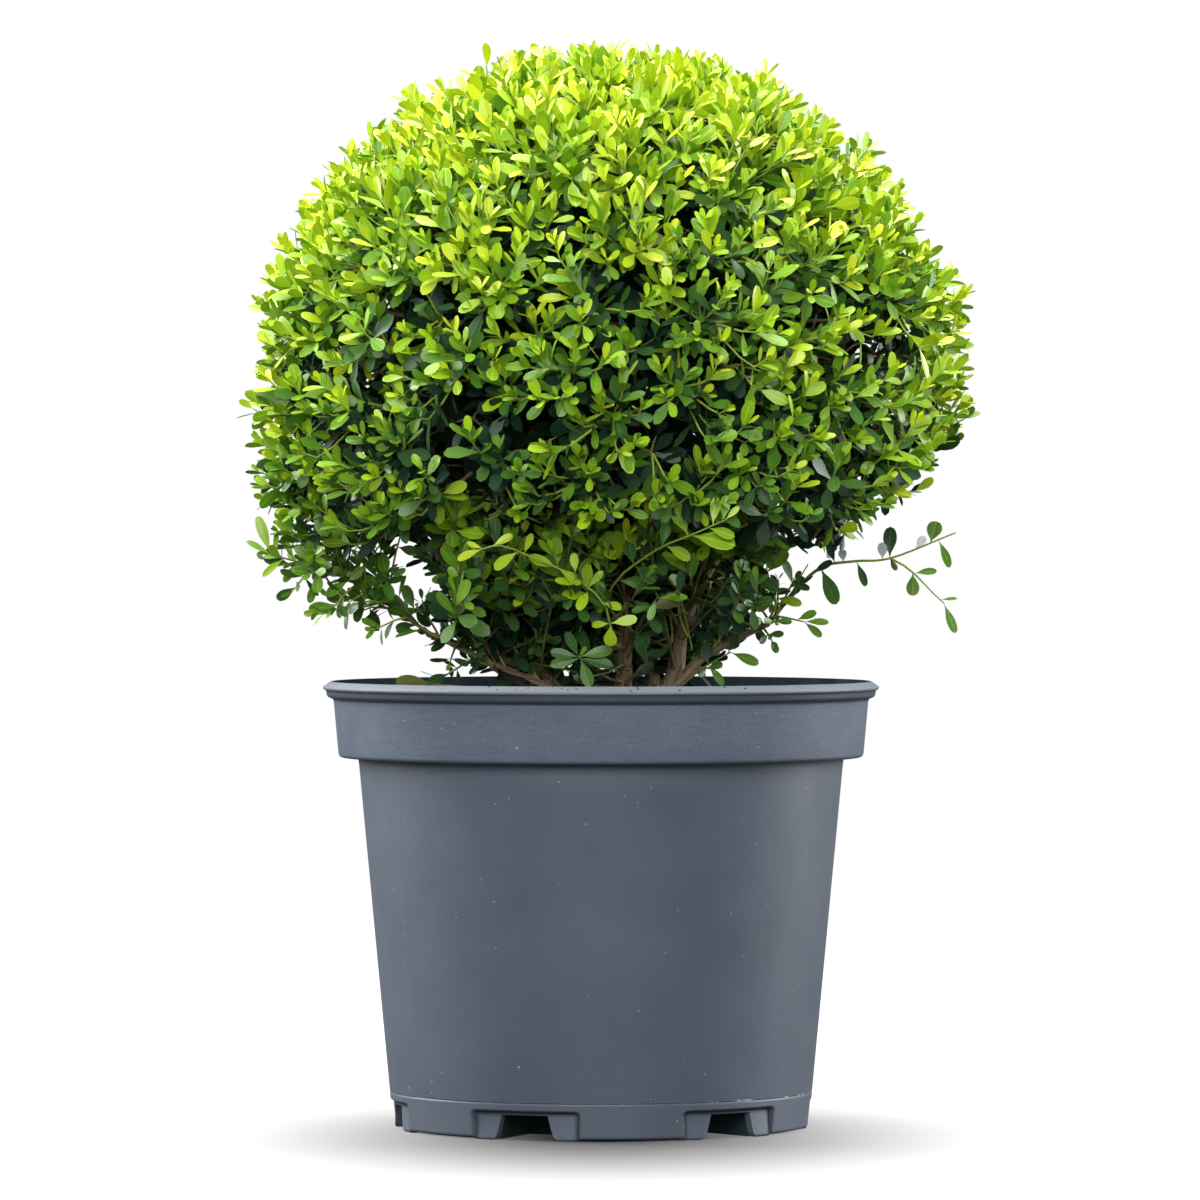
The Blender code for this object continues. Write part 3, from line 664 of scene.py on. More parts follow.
def makeInnerShadePlastic():
    # inside and underneath, the plastic is painted dark as shade, with mottled patches, and painted paler on
    # the right as if lit there
    inner = plastic["innerShadeColour"]
    made, shader, tree = newMaterial("innerShadePlastic", inner, 0.8)
    shader.inputs["Specular IOR Level"].default_value = 0.08
    place = objectPlace(tree)
    paint(
        tree, shader, shaded(inner, 0.5), (patchesOf(tree, place, *plastic["shadeMottle"]), inner),
        (rangeInMm(tree, partsOf(tree, place)[0], *plastic["paleSide"]), plastic["innerLitColour"]))
    return made


# Soil, with crumbs on it and on the rim

soil = {
    "top": 246.0,
    "edgeTop": 243.0,
    "levelRadius": 80.0,
    "edgeRadius": 156.4,
    "holeRadius": 2.0,  # the small hole at the middle of the spun disc, closed by one face
    "relief": 2.2,
    "rings": 60,
    "steps": 220,
    "crumbs": 1400,
    "lipCrumbs": 26,
    "seed": 5,
    "dark": (0.022, 0.015, 0.010),
    "light": (0.075, 0.052, 0.034),
    "fibre": (0.22, 0.15, 0.08),
    # noise: scale, detail, roughness, then low and high
    "clods": (130, 5, 0.65, 0.4, 0.72),
    "fibres": (520, 2, 0.5, 0.68, 0.74),
    "fineRelief": (620, 4, 0.7),
}

straw = {
    "places": (-47, -39, 8, 33, 119),  # along x
    "bits": (2, 3, 4),
    "length": (1.2, 3.6),
    "radius": (0.16, 0.30),
    "colour": (0.48, 0.42, 0.30),
    "seed": 9,
}


def soilHeight(x, y):
    radius = math.hypot(x, y)
    slope = max(0, radius - soil["levelRadius"]) / (soil["edgeRadius"] - soil["levelRadius"])
    height = soil["top"] + (soil["edgeTop"] - soil["top"]) * slope
    coarse = noise.fractal(Vector((x, y, 0)) * 0.06, 1.0, 2.0, 3)
    fine = noise.fractal(Vector((x, y, 40)) * 0.35, 1.0, 2.0, 3)
    return height + soil["relief"] * (0.5 * coarse + 0.35 * fine) - 0.8


def onLipSlope(inward, turn, lift):
    # a point on the lip, this far in from its edge
    radius = pot["lipRadius"] - inward
    drop = pot["lipFall"] * max(0, 1 - inward / pot["lipSlope"])
    return radius * math.cos(turn), radius * math.sin(turn), pot["height"] - drop + lift


def buildStraw():
    # pale bits of straw that lie on the lip
    chance = random.Random(straw["seed"])
    bm = bmesh.new()
    for x in straw["places"]:
        turn = -math.acos(x / pot["lipRadius"])
        for _ in range(chance.choice(straw["bits"])):
            length = chance.uniform(*straw["length"])
            thick = chance.uniform(*straw["radius"])
            place = Vector(onLipSlope(chance.uniform(1.0, 4.0), turn + chance.gauss(0, 0.006), 0.3))
            lie = Matrix.Rotation(chance.uniform(-0.5, 0.5) + math.pi / 2, 4, "Y")
            spin = Matrix.Rotation(chance.uniform(-0.7, 0.7), 4, "Z")
            bmesh.ops.create_cone(
                bm, cap_ends=True, segments=5, radius1=thick * mm, radius2=thick * 0.6 * mm,
                depth=length * mm, matrix=Matrix.Translation(place * mm) @ spin @ lie)
    pale, _, _ = newMaterial("straw", straw["colour"], 0.8)
    newPiece("straw_on_lip", meshOf(bm, "straw_on_lip"), [pale], "soil")


def buildSoilTop():
    inner, outer = soil["holeRadius"], soil["edgeRadius"]
    radii = [inner + (outer - inner) * i / soil["rings"] for i in range(soil["rings"] + 1)]
    bm = spinChain([(radius, 0) for radius in radii], soil["steps"])
    hole = [edge for edge in bm.edges if edge.is_boundary and edge.verts[0].co.length < 5 * mm]
    bmesh.ops.contextual_create(bm, geom=hole)
    for vert in bm.verts:
        vert.co.z = soilHeight(vert.co.x / mm, vert.co.y / mm) * mm
    faceOutwards(bm)
    mesh = meshOf(bm, "soil_top")
    mesh.shade_smooth()
    newPiece("soil_top", mesh, [peat], "soil", "soil")


def buildCrumbs():
    chance = random.Random(soil["seed"])
    places = []
    for _ in range(soil["crumbs"]):
        radius = soil["edgeRadius"] * math.sqrt(chance.uniform(0.02, 0.98))
        turn = chance.uniform(0, math.tau)
        x, y = radius * math.cos(turn), radius * math.sin(turn)
        size = chance.uniform(0.5, 1.1) ** 3 * 2.0
        places.append((x, y, soilHeight(x, y) + 0.3 * size, size))
    for _ in range(soil["lipCrumbs"]):  # near the front of the lip
        turn = chance.gauss(math.radians(-96), 0.25)
        size = chance.uniform(0.25, 0.7)
        places.append((*onLipSlope(chance.uniform(0.5, 5.5), turn, 0.3 * size), size))
    bm = bmesh.new()
    bmesh.ops.create_icosphere(bm, subdivisions=1, radius=1)
    points, faces = meshArrays(meshOf(bm, "crumb"))
    crumbs = []
    for x, y, z, size in places:
        angle = chance.uniform(0, math.tau)
        turn = Matrix.Rotation(angle, 3, Vector((chance.random(), chance.random(), 1)))
        stretch = Matrix.Diagonal([chance.uniform(*ends) for ends in ((0.6, 1.4), (0.6, 1.2), (0.5, 0.9))])
        turned = points @ np.array(turn @ stretch).T * size
        crumbs.append(((turned + np.array((x, y, z))) * mm, faces))
    newPiece("soil_crumbs", joinedMesh("soil_crumbs", crumbs), [peat], "soil")


def makePeat():
    made, shader, tree = newMaterial("peat", soil["dark"], 0.9)
    place = objectPlace(tree)
    paint(
        tree, shader, soil["dark"], (patchesOf(tree, place, *soil["clods"]), soil["light"]),
        (patchesOf(tree, objectPlace(tree, (1, 0.25, 1)), *soil["fibres"]), soil["fibre"]))
    addBump(tree, shader, noiseOf(tree, place, *soil["fineRelief"]), 0.5, 0.8)
    return made


# Wood: foot and tip radii, then guide points in millimetres, as the solids have them

stems = {
    "stem_front": (4.9, 4.0, ((12, -17, 250), (14, -19, 280), (14, -22, 310), (15, -22, 345))),
    "stem_left": (
        7.4, 5.6, ((-26, -6, 250), (-36, -8, 267), (-62, -12, 281), (-76, -14, 305), (-97, -14, 352))),
    "stem_right": (
        5.2, 3.8, ((34, -4, 250), (44, -6, 272), (48, -8, 299), (56, -8, 320), (73, -10, 352))),
    "stem_back": (4.6, 3.6, ((25, 20, 250), (31, 26, 272), (26, 52, 310), (20, 78, 352))),
    "stem_back_left": (5.4, 4.0, ((-22, 20, 250), (-30, 28, 270), (-50, 58, 310), (-66, 84, 352))),
    "stem_back_right": (4.8, 3.6, ((12, 30, 250), (48, 44, 272), (76, 56, 310), (96, 66, 352))),
    "bough_low_left": (2.6, 1.5, ((-20, -26, 250), (-34, -30, 266), (-60, -32, 277), (-90, -31, 291))),
    "bough_low_right": (
        2.7, 1.6, ((29, -22, 250), (47, -26, 267), (60, -28, 281), (84, -28, 295), (101, -26, 303))),
}
stub = ((-88, -15, 331), (-89, -19, 339), (-90, -25, 346))  # of a cut branch on the left stem

bark = {
    "rootRadius": 47.0,
    "rootTopRadius": 39.0,
    "rootTop": 257.0,
    "rootDepth": 14.0,
    "stubRadii": (4.6, 4.2, 4.3),
    "flare": 0.45,  # how much thicker a stem is at its very foot
    "guideSteps": 26,
    "grain": 0.9,  # size of the mesh that carries the relief
    "relief": 0.75,
    "furrows": 3.4,  # furrows are this many millimetres apart
    "furrowLength": 7,  # and this many times longer than wide
    "knots": 9,
    "dark": (0.075, 0.050, 0.032),
    "light": (0.28, 0.20, 0.125),
    # noise: scale, detail, roughness, then low and high
    "patches": (90, 4, 0.6, 0.35, 0.7),
    "fibres": (900, 3, 0.6),
}


def smoothPath(guides, count):
    # evenly shared points on a Catmull-Rom line through the guide points
    points = [Vector(guide) for guide in guides]
    points = [points[0] * 2 - points[1], *points, points[-1] * 2 - points[-2]]
    path = []
    for i in range(count):
        along = i / (count - 1) * (len(points) - 3)
        part = min(int(along), len(points) - 4)
        t = along - part
        a, b, c, d = points[part:part + 4]
        path.append(0.5 * (
            2 * b + (c - a) * t + (2 * a - 5 * b + 4 * c - d) * t * t + (3 * b - a - 3 * c + d) * t ** 3))
    return path


def tube(bm, path, radii, sides):
    # a ring of points is carried along the path and extruded at each step
    direction = (path[1] - path[0]).normalized()
    place = Matrix.Translation(path[0]) @ direction.to_track_quat("Z", "Y").to_matrix().to_4x4()
    edges = edgesOf(bmesh.ops.create_circle(
        bm, cap_ends=True, segments=sides, radius=radii[0], matrix=place)["verts"])
    for i in range(1, len(path)):
        ahead = (path[min(i + 1, len(path) - 1)] - path[i - 1]).normalized()
        turn = direction.rotation_difference(ahead)
        direction = ahead
        verts, edges = extrudeEdges(bm, edges)
        middle = sum((vert.co for vert in verts), Vector()) / len(verts)
        for vert in verts:
            arm = turn @ (vert.co - middle)
            vert.co = path[i] + arm.normalized() * radii[i]
    bmesh.ops.holes_fill(bm, edges=edges, sides=0)


def limbPath(name):
    foot, tip, guides = stems[name]
    count = bark["guideSteps"]
    path = [point * mm for point in smoothPath(guides, count)]
    shares = [i / (count - 1) for i in range(count)]
    radii = [(foot + (tip - foot) * s) * (1 + bark["flare"] * (1 - s) ** 6) * mm for s in shares]
    return path, radii


def buildWood():
    # the stool, stems and low boughs are fused into one skin, and the bark's furrows pressed into it
    bm = bmesh.new()
    bmesh.ops.create_cone(
        bm, cap_ends=True, segments=48, radius1=bark["rootRadius"] * mm,
        radius2=bark["rootTopRadius"] * mm * 0.86, depth=bark["rootDepth"] * mm,
        matrix=Matrix.Translation((0, 0, (bark["rootTop"] - 8.4) * mm)))
    for vert in bm.verts:
        turn = math.atan2(vert.co.y, vert.co.x)
        lobe = 1 + 0.07 * math.cos(3 * turn + 0.6) + 0.03 * math.cos(5 * turn)
        vert.co.x *= lobe * 0.97
        vert.co.y *= lobe * 0.97
    lines = []
    for name in stems:
        path, radii = limbPath(name)
        tube(bm, path, radii, 18)
        lines.append((np.array(path), np.array(radii)))
    tube(bm, [Vector(point) * mm for point in stub], [radius * mm for radius in bark["stubRadii"]], 16)
    bmesh.ops.recalc_face_normals(bm, faces=bm.faces[:])
    raw = addObject("wood_raw", meshOf(bm, "wood_raw"))
    skin = raw.modifiers.new("fuse", "REMESH")
    skin.mode = "VOXEL"
    skin.voxel_size = bark["grain"] * mm
    mesh = appliedMesh(raw, "stems_and_boughs")
    bm = bmesh.new()
    bm.from_mesh(mesh)
    for _ in range(2):
        bmesh.ops.smooth_vert(
            bm, verts=bm.verts[:], factor=0.5, use_axis_x=True, use_axis_y=True, use_axis_z=True)
    pressBark(bm, lines)
    bm.to_mesh(mesh)
    bm.free()
    mesh.shade_smooth()
    newPiece("stems_and_boughs", mesh, [barkMaterial], "bark", "root_crown", *stems)
    print("wood", len(mesh.polygons), "faces")


def alongLimbs(points, lines):
    # for each point, how far along its nearest limb it lies, and its offset from the limb's axis
    bestShare = np.full(len(points), np.inf)
    along = np.zeros(len(points))
    around = np.zeros((len(points), 3))
    for number, (path, radii) in enumerate(lines):
        lengths = np.concatenate(([0], np.cumsum(np.linalg.norm(np.diff(path, axis=0), axis=1))))
        for i in range(len(path) - 1):
            step = path[i + 1] - path[i]
            share = np.clip((points - path[i]) @ step / (step @ step), 0, 1)
            off = points - path[i] - share[:, None] * step
            far = np.linalg.norm(off, axis=1) / radii[i]
            nearer = far < bestShare
            bestShare[nearer] = far[nearer]
            along[nearer] = (lengths[i] + share * (lengths[i + 1] - lengths[i]))[nearer] + number * 0.7
            around[nearer] = off[nearer]
    return along, around


def pressBark(bm, lines):
    depth = bm.verts.layers.float.new("furrow")
    bm.normal_update()
    along, around = alongLimbs(np.array([vert.co for vert in bm.verts]), lines)
    wide = bark["furrows"] * mm
    moves = []
    for vert, out, length in zip(bm.verts, around, along):
        place = Vector((out[0] / wide, out[1] / wide, out[2] / wide + length / (wide * bark["furrowLength"])))
        furrow = 1 - abs(noise.noise(place)) * 2.2
        crack = max(0.0, furrow) ** 3
        knot = noise.noise(vert.co / (bark["knots"] * mm)) * 0.5
        vert[depth] = min(1.0, crack)
        moves.append(vert.normal * (-crack * bark["relief"] + knot * 0.5 + 0.25) * mm)
    for vert, move in zip(bm.verts, moves):
        vert.co += move


def makeBark():
    light, dark = bark["light"], bark["dark"]
    made, shader, tree = newMaterial("bark", light, 0.85)
    fibres = noiseOf(tree, objectPlace(tree, (1, 1, 0.15)), *bark["fibres"])
    paint(
        tree, shader, light, (patchesOf(tree, objectPlace(tree), *bark["patches"]), shaded(light, 0.55)),
        (rangeOf(tree, attributeOf(tree, "furrow"), 0.15, 0.8), dark),
        (rangeOf(tree, fibres, 0.5, 0.7, 0, 0.5), dark))
    addBump(tree, shader, fibres, 0.3, 0.7)
    return made


# Foliage: the surface that the clipped leaves reach, as the solids have it, in millimetres

crown = {
    "centre": (3.0, 0.0, 448.6),
    "radius": 222.0,
    "rise": 205.5,
    "drop": 170.0,
    "lowPower": 2.6,
    "bulge": 0.03,  # the ball is a little fuller towards +X
    "lumps": 0.045,
    "lumpScale": 3.2,
    # how many, how far out they end, how their tips lift, steps, and radius at the start and end
    "forks": {"count": 60, "reach": (0.5, 0.62), "lift": 0.5, "steps": 7, "radii": (0.62, 1.7)},
    "branchlets": {"count": 320, "reach": (0.68, 0.80), "lift": 0.35, "steps": 5, "radii": (1.6, 1.0)},
    "shoots": 2300,
    "scatter": 0.022,
    "clumpScale": 8.5,
    "clumpDepth": 14,
    "depths": (4, 6, 8, 10, 13, 18, 26),  # how far inside the surface a shoot may end
    "pairs": (5, 6, 6, 7),
    "toneSteps": (-0.6, 0, 0, 0.5, 1.6),
    "leafScale": (0.80, 1.18),
    "topScale": 0.16,  # leaves on top are this much longer
    "strays": 0.05,  # share of the outer shoots that stand out of the clipped surface
    "strayReach": (5, 15),
    "thinning": 0.27,  # share of the outer shoots left out on the sides
    "clumpThinning": 0.6,
    "skirtThinning": 0.14,
    "cutTips": 0.08,
    "cutLength": (3, 8),
    "inside": (  # older shoots: how many, how far out they end, leaf scale, whether deep in the dark, where they take the near-black painted-shade colour
        (720, (0.72, 0.87), 1.2, False), (480, (0.40, 0.68), 1.8, True)),
    "insideTone": 9.2,
    "seed": 11,
}

# lowest leaves of the skirt for each x, from left to right, and the dense middle that hangs lower
underside = (
    (-225, 362), (-205, 350), (-170, 348), (-130, 349), (-105, 355), (60, 352), (86, 338), (140, 345),
    (152, 350), (185, 376), (209, 402), (235, 442))
middle = {"radius": 62, "fade": 26, "lowest": 270}
front = {"halfWidth": 95, "fade": 30, "start": 110, "full": 165, "rise": 10}  # the skirt lifts towards -Y

leaf = {
    "length": 17.6,
    "width": 0.388,  # share of the length
    "widths": (0.86, 1.12),
    "bend": (-0.04, 0.18),
    "fold": (0.08, 0.36),
    "petiole": 0.07,
    "petioleWidth": 0.07,
    "widest": 0.64,
    "margin": 0.90,
    "rib": 0.055,
    "rows": {
        "large": (0.0, 0.07, 0.18, 0.32, 0.48, 0.62, 0.76, 0.87, 0.95, 1.0),
        "fine": (0.0, 0.15, 0.39, 0.64, 0.84, 0.95, 1.0),
        "plain": (0.0, 0.20, 0.62, 0.88, 1.0),
    },
    "tip": 0.26,
    "tipFrom": 0.95,
    "notch": 0.03,
}

# young to old leaf colours, then a near-white leaf painted as bright as strongly lit leaves look (painted
# light), a dry leaf, and a near-black painted shade for the leaves deep inside
tones = (
    (0.53, 0.65, 0.009), (0.44, 0.59, 0.009), (0.335, 0.53, 0.010), (0.238, 0.43, 0.011),
    (0.160, 0.34, 0.014), (0.102, 0.25, 0.018), (0.063, 0.166, 0.023), (0.037, 0.102, 0.027),
    (0.021, 0.060, 0.026), (0.012, 0.034, 0.017), (0.90, 0.95, 0.98), (0.105, 0.110, 0.022),
    (0.008, 0.020, 0.009))
oldest, paintedPaleLeaf, dryLeaf, deepest = range(9, 13)  # places in tones
# colours of margin and midrib, one for each two of the leaf colours; the pale margins also stand in for light
# shining through the leaf edges (painted light)
paleTones = (
    (0.66, 0.72, 0.10), (0.46, 0.60, 0.06), (0.27, 0.44, 0.045), (0.115, 0.24, 0.04), (0.045, 0.110, 0.045))
twigTones = ((0.30, 0.40, 0.05), (0.17, 0.17, 0.045), (0.20, 0.135, 0.075))

leaves = []  # mass, blade, root, direction, face, length, width, bend, fold, tone
twigs = []  # path, radius at its start and end, tone


def crownReach(direction):
    radius = crown["radius"] * (1 + crown["bulge"] * max(0, direction.x) ** 8)
    level = math.hypot(direction.x, direction.y) / radius
    if direction.z >= 0:
        return (level ** 2 + (direction.z / crown["rise"]) ** 2) ** -0.5
    power = crown["lowPower"]
    return (level ** power + (-direction.z / crown["drop"]) ** power) ** (-1 / power)


def lumpyReach(direction):
    lump = 0.5 + 0.5 * noise.noise(direction * crown["lumpScale"])
    return crownReach(direction) * (1 - crown["lumps"] * lump)


def spreadDirections(count):
    for i in range(count):
        height = 1 - (2 * i + 1) / count
        level = math.sqrt(1 - height * height)
        turn = i * goldenAngle
        yield Vector((level * math.cos(turn), level * math.sin(turn), height))


def heightOn(outline, x):
    for (x0, z0), (x1, z1) in zip(outline, outline[1:]):
        if x0 <= x <= x1:
            return z0 + (z1 - z0) * (x - x0) / (x1 - x0)
    return 400  # past either end no leaf hangs low


def undersideAt(point):
    # the skirt's lower edge, uneven by some millimetres; it hangs lower round the stems
    out = math.hypot(point.x * 0.85, point.y) - middle["radius"]
    hang = within(out / middle["fade"])
    low = min(heightOn(underside, point.x), middle["lowest"] + 500 * hang)
    forward = within((-point.y - front["start"]) / (front["full"] - front["start"]))
    central = within((front["halfWidth"] + front["fade"] - abs(point.x)) / front["fade"])
    low += front["rise"] * forward * central
    return low + 14 * noise.noise(Vector((point.x, point.y, 0)) * 0.045)


# points of the two front stems, and how far on each side of them no leaf hides them
inSight = [
    (point, clear) for name, clear in (("stem_front", 8), ("stem_right", 11))
    for point in smoothPath(stems[name][2], 20) if point.z < 344]


def hidesStem(point):
    return any(
        abs(point.z - place.z) < 4 and abs(point.x - place.x) < clear and point.y < place.y - 3
        for place, clear in inSight)


# Where leaves may be: each test takes a point in millimetres and how far past the edge it may lie, which
# only the crown allows

def insideCrown(point, slack=0.0):
    if point.z < 348 and hidesStem(point):
        return False
    away = point - Vector(crown["centre"])
    if away.length > crownReach(away.normalized()) + slack:
        return False
    return point.z > undersideAt(point)


def insideBox(point, _=0.0):
    return all(low + mm < value * mm < high - mm for value, low, high in zip(point, cadBox[0], cadBox[1]))


def bendPath(start, end, leave, arrive, count):
    # a curve that leaves start along one direction and arrives at end along another
    reach = (end - start).length * 0.4
    a, b, c, d = start, start + leave * reach, end - arrive * reach, end
    path = []
    for i in range(count):
        t = i / (count - 1)
        s = 1 - t
        path.append(a * s ** 3 + b * 3 * s * s * t + c * 3 * s * t * t + d * t ** 3)
    return path


def pathLength(path):
    return sum((b - a).length for a, b in zip(path, path[1:]))


def alongPath(path, back):
    # the point this far back from a path's tip, and the direction there
    for a, b in zip(path[::-1], path[-2::-1]):
        step = (a - b).length
        if back <= step:
            return a.lerp(b, back / step), (a - b).normalized()
        back -= step
    return path[0], (path[1] - path[0]).normalized()


def nearestTo(point, places):
    # each place is a tuple that begins with its point
    return min(places, key=lambda place: (place[0] - point).length)


def jitter(chance, amount):
    return Vector((chance.gauss(0, amount), chance.gauss(0, amount), chance.gauss(0, amount)))


def addTwig(path, startRadius, endRadius, tone):
    twigs.append((path, startRadius, endRadius, tone))


def addLeaf(chance, mass, blade, root, direction, face, length, tone, wide):
    face = (face - direction * face.dot(direction)).normalized()
    width = leaf["width"] * wide * chance.uniform(*leaf["widths"])
    bend, fold = chance.uniform(*leaf["bend"]), chance.uniform(*leaf["fold"])
    leaves.append((mass, blade, root, direction, face, length, width, bend, fold, tone))


def heightShare(point):
    # 0 at the lowest stems and 1 at the top of the ball
    return within((point.z - 290) / 364)


# each kind of shoot: its twig's steps, radii and tone, then how it is dressed: space between pairs,
# pairs of fine leaves, ageing from the tip back, width, and how much narrower the leaves are on top
growths = {
    "outer": {"twig": (6, 0.95, 0.45, 0), "spacing": 7.2, "fine": 3, "ageing": 7.0, "wide": (1.10, 0.22)},
    "inner": {"twig": (4, 1.0, 0.6, 1), "spacing": 8.0, "fine": 0, "ageing": 1.5, "wide": (1.08, 0)},
    "low": {"twig": (6, 1.1, 0.5, 1), "spacing": 9.0, "fine": 3, "ageing": 1.0, "wide": (1.06, 0)},
    "front": {"twig": (8, 1.1, 0.5, 1), "spacing": 9.0, "fine": 4, "ageing": 2.5, "wide": (1.04, 0)},
    "bough": {"twig": (5, 0.9, 0.45, 1), "spacing": 9.0, "fine": 3, "ageing": 1.0, "wide": (1.06, 0)},
    "spray": {"spacing": 12.0, "fine": 12, "ageing": 4.0, "wide": (1.05, 0)},
    "side twig": {"twig": (6, 0.8, 0.45, 0), "spacing": 8.0, "fine": 9, "ageing": 2.0, "wide": (1.05, 0)},
}

pair = {
    "tipAngle": 19,  # degrees between a shoot and its youngest leaves
    "opening": 39,  # and how much more the old ones open
    "angleSpread": 0.16,
    "smallest": 0.50,  # share of the full length at the tip
    "lengths": (0.80, 1.18),
    "keepSlack": 2.0,  # how far past the edge a leaf's middle may lie
}


def dressShoot(chance, kind, path, pairs, tone, scale, mass="crown", keep=None):
    # pairs of leaves from the tip back, each pair turned a quarter from the last
    growth = growths[kind]
    wide, narrower = growth["wide"]
    axis = (path[-1] - path[-2]).normalized()
    side = axis.orthogonal().normalized()
    side.rotate(Matrix.Rotation(chance.uniform(0, math.pi), 3, axis))
    total = pathLength(path)
    back = 0.0
    for k in range(pairs):
        if back > total:
            break
        node, axis = alongPath(path, back)
        side = (side - axis * side.dot(axis)).normalized()
        age = k / max(1, pairs - 1)
        opened = pair["tipAngle"] + pair["opening"] * min(1, age * 1.25) ** 0.75
        spread = math.radians(opened) + chance.uniform(-pair["angleSpread"], pair["angleSpread"])
        grown = pair["smallest"] + (1 - pair["smallest"]) * min(1, 0.1 + age * 2.2)
        length = leaf["length"] * scale * grown * chance.uniform(*pair["lengths"])
        for way in (1, -1):
            out = axis * math.cos(spread) + side * (way * math.sin(spread))
            out = (out + jitter(chance, 0.11) + up * 0.05).normalized()
            face = axis * math.sin(spread) - side * (way * math.cos(spread))
            face += up * 0.35 + jitter(chance, 0.15)
            tip = node + out * length
            if keep and not (keep(tip) and keep(node.lerp(tip, 0.5), pair["keepSlack"])):
                continue
            slower = 1 - 0.66 * heightShare(tip) ** 2
            older = growth["ageing"] * slower * age ** 1.3 * chance.uniform(0.7, 1.15)
            leafTone = min(oldest, max(0, tone + older + chance.gauss(0, 0.5)))
            if tone == deepest:
                leafTone = deepest
            blade = "fine" if k < growth["fine"] else "plain"
            leafWide = wide - narrower * heightShare(tip)
            addLeaf(chance, mass, blade, node - out * 0.4, out, face, length, leafTone, leafWide)
        side = axis.cross(side)
        side.rotate(Matrix.Rotation(chance.uniform(-0.25, 0.25), 3, axis))
        apart = 0.45 + 0.75 * min(1, age * 2 + 0.2)
        back += growth["spacing"] * apart * chance.uniform(0.85, 1.15) * scale


def growShoot(chance, kind, start, end, leave, arrive, pairs, tone, scale, **where):
    # a bent twig with its leaves; gives the twig's path
    steps, *look = growths[kind]["twig"]
    path = bendPath(start, end, leave, arrive.normalized(), steps)
    addTwig(path, *look)
    if pairs:
        dressShoot(chance, kind, path, pairs, tone, scale, **where)
    return path


def toneAt(point, chance):
    # new growth is palest on top, greener lower down, and old under the crown; the pale top also stands in
    # for light shining through the leaves (painted light), and the lower flanks are painted paler where the
    # side lamps light them (painted light)
    lower = 1 - heightShare(point)
    flank = within((abs(point.x - crown["centre"][0]) - 110) / 90)
    under = within((352 - point.z) / 20)
    return 0.2 + 3.7 * lower ** 1.45 - 1.3 * flank * lower + 2.6 * under * (1 - flank) + chance.gauss(0, 0.8)


def mainStems():
    return [stem for name, stem in stems.items() if name.startswith("stem")]


def branchEnds(chance, branch, carriers, lowest):
    # branches towards evenly spread directions, each from the nearest of its carriers, which are
    # (point, direction, radius); a branch starts at a share of that radius
    centre = Vector(crown["centre"])
    startShare, endRadius = branch["radii"]
    ends = []
    for direction in spreadDirections(branch["count"]):
        end = centre + direction * crownReach(direction) * chance.uniform(*branch["reach"])
        if end.z < lowest(end):
            continue
        start, leave, radius = nearestTo(end, carriers)
        arrive = (direction + up * branch["lift"]).normalized()
        addTwig(bendPath(start, end, leave, arrive, branch["steps"]), radius * startShare, endRadius, 2)
        ends.append((end, arrive, 1.0))
    return ends


def growBranches(chance):
    # the stems fork into branches, and those into branchlets; the shoots start at their ends
    tips = []
    for _, tip, guides in mainStems():
        end = Vector(guides[-1])
        tips.append((end, (end - Vector(guides[-2])).normalized(), tip))
    forks = branchEnds(chance, crown["forks"], tips, lambda end: 350)
    return branchEnds(chance, crown["branchlets"], forks, lambda end: undersideAt(end) + 8)


def growOuterShoots(chance, branchlets):
    c = crown
    centre = Vector(c["centre"])
    grown = 0
    for direction in spreadDirections(c["shoots"]):
        direction = (direction + jitter(chance, c["scatter"])).normalized()
        clump = noise.noise(direction * c["clumpScale"])
        side = 1 - within((direction.z - 0.20) / 0.45)
        skirt = within((-direction.z - 0.18) / 0.2)
        if chance.random() < side * (c["thinning"] + c["clumpThinning"] * clump) + c["skirtThinning"] * skirt:
            continue
        reach = lumpyReach(direction) - chance.choice(c["depths"]) - c["clumpDepth"] * side * max(0, clump)
        stray = chance.random() < c["strays"]
        if stray:
            reach += chance.uniform(*c["strayReach"]) * (1 - 0.6 * max(0, direction.z))
        end = centre + direction * reach
        if end.z < undersideAt(end) + 4:
            continue
        lift = 0.40 + 0.75 * (1 - abs(direction.z))
        arrive = (direction + up * lift + jitter(chance, 0.19)).normalized()
        tone = toneAt(end, chance) + chance.choice(c["toneSteps"])
        pairs = chance.choice(c["pairs"])
        scale = chance.uniform(*c["leafScale"]) * (1 + c["topScale"] * max(0, direction.z))
        start, leave, _ = nearestTo(end, branchlets)
        keep = insideBox if stray else insideCrown
        growShoot(chance, "outer", start, end, leave, arrive, pairs, tone, scale, keep=keep)
        if chance.random() < c["cutTips"]:
            addTwig([end, end + arrive * chance.uniform(*c["cutLength"])], 0.5, 0.4, 2)
        grown += 1
    print("outer shoots", grown)


def growInnerShoots(chance, branchlets):
    # older shoots with dark leaves, darker lower down, which is partly painted shade inside the crown; the
    # deep ones take the near-black painted-shade colour
    centre = Vector(crown["centre"])
    for count, reach, scale, deep in crown["inside"]:
        for direction in spreadDirections(count):
            aside = Vector((chance.gauss(0, 0.05), chance.gauss(0, 0.05), 0))
            direction = (direction + aside).normalized()
            end = centre + direction * crownReach(direction) * chance.uniform(*reach)
            if end.z < undersideAt(end) + 4:
                continue
            arrive = direction + jitter(chance, 0.5)
            tone = crown["insideTone"] - 5.6 * heightShare(end) ** 3 + chance.gauss(0, 0.7)
            tone = deepest if deep else tone
            start, leave, _ = nearestTo(end, branchlets)
            growShoot(chance, "inner", start, end, leave, arrive, 4, tone, scale, keep=insideCrown)


def growCrown():
    chance = random.Random(crown["seed"])
    branchlets = growBranches(chance)
    growOuterShoots(chance, branchlets)
    growInnerShoots(chance, branchlets)


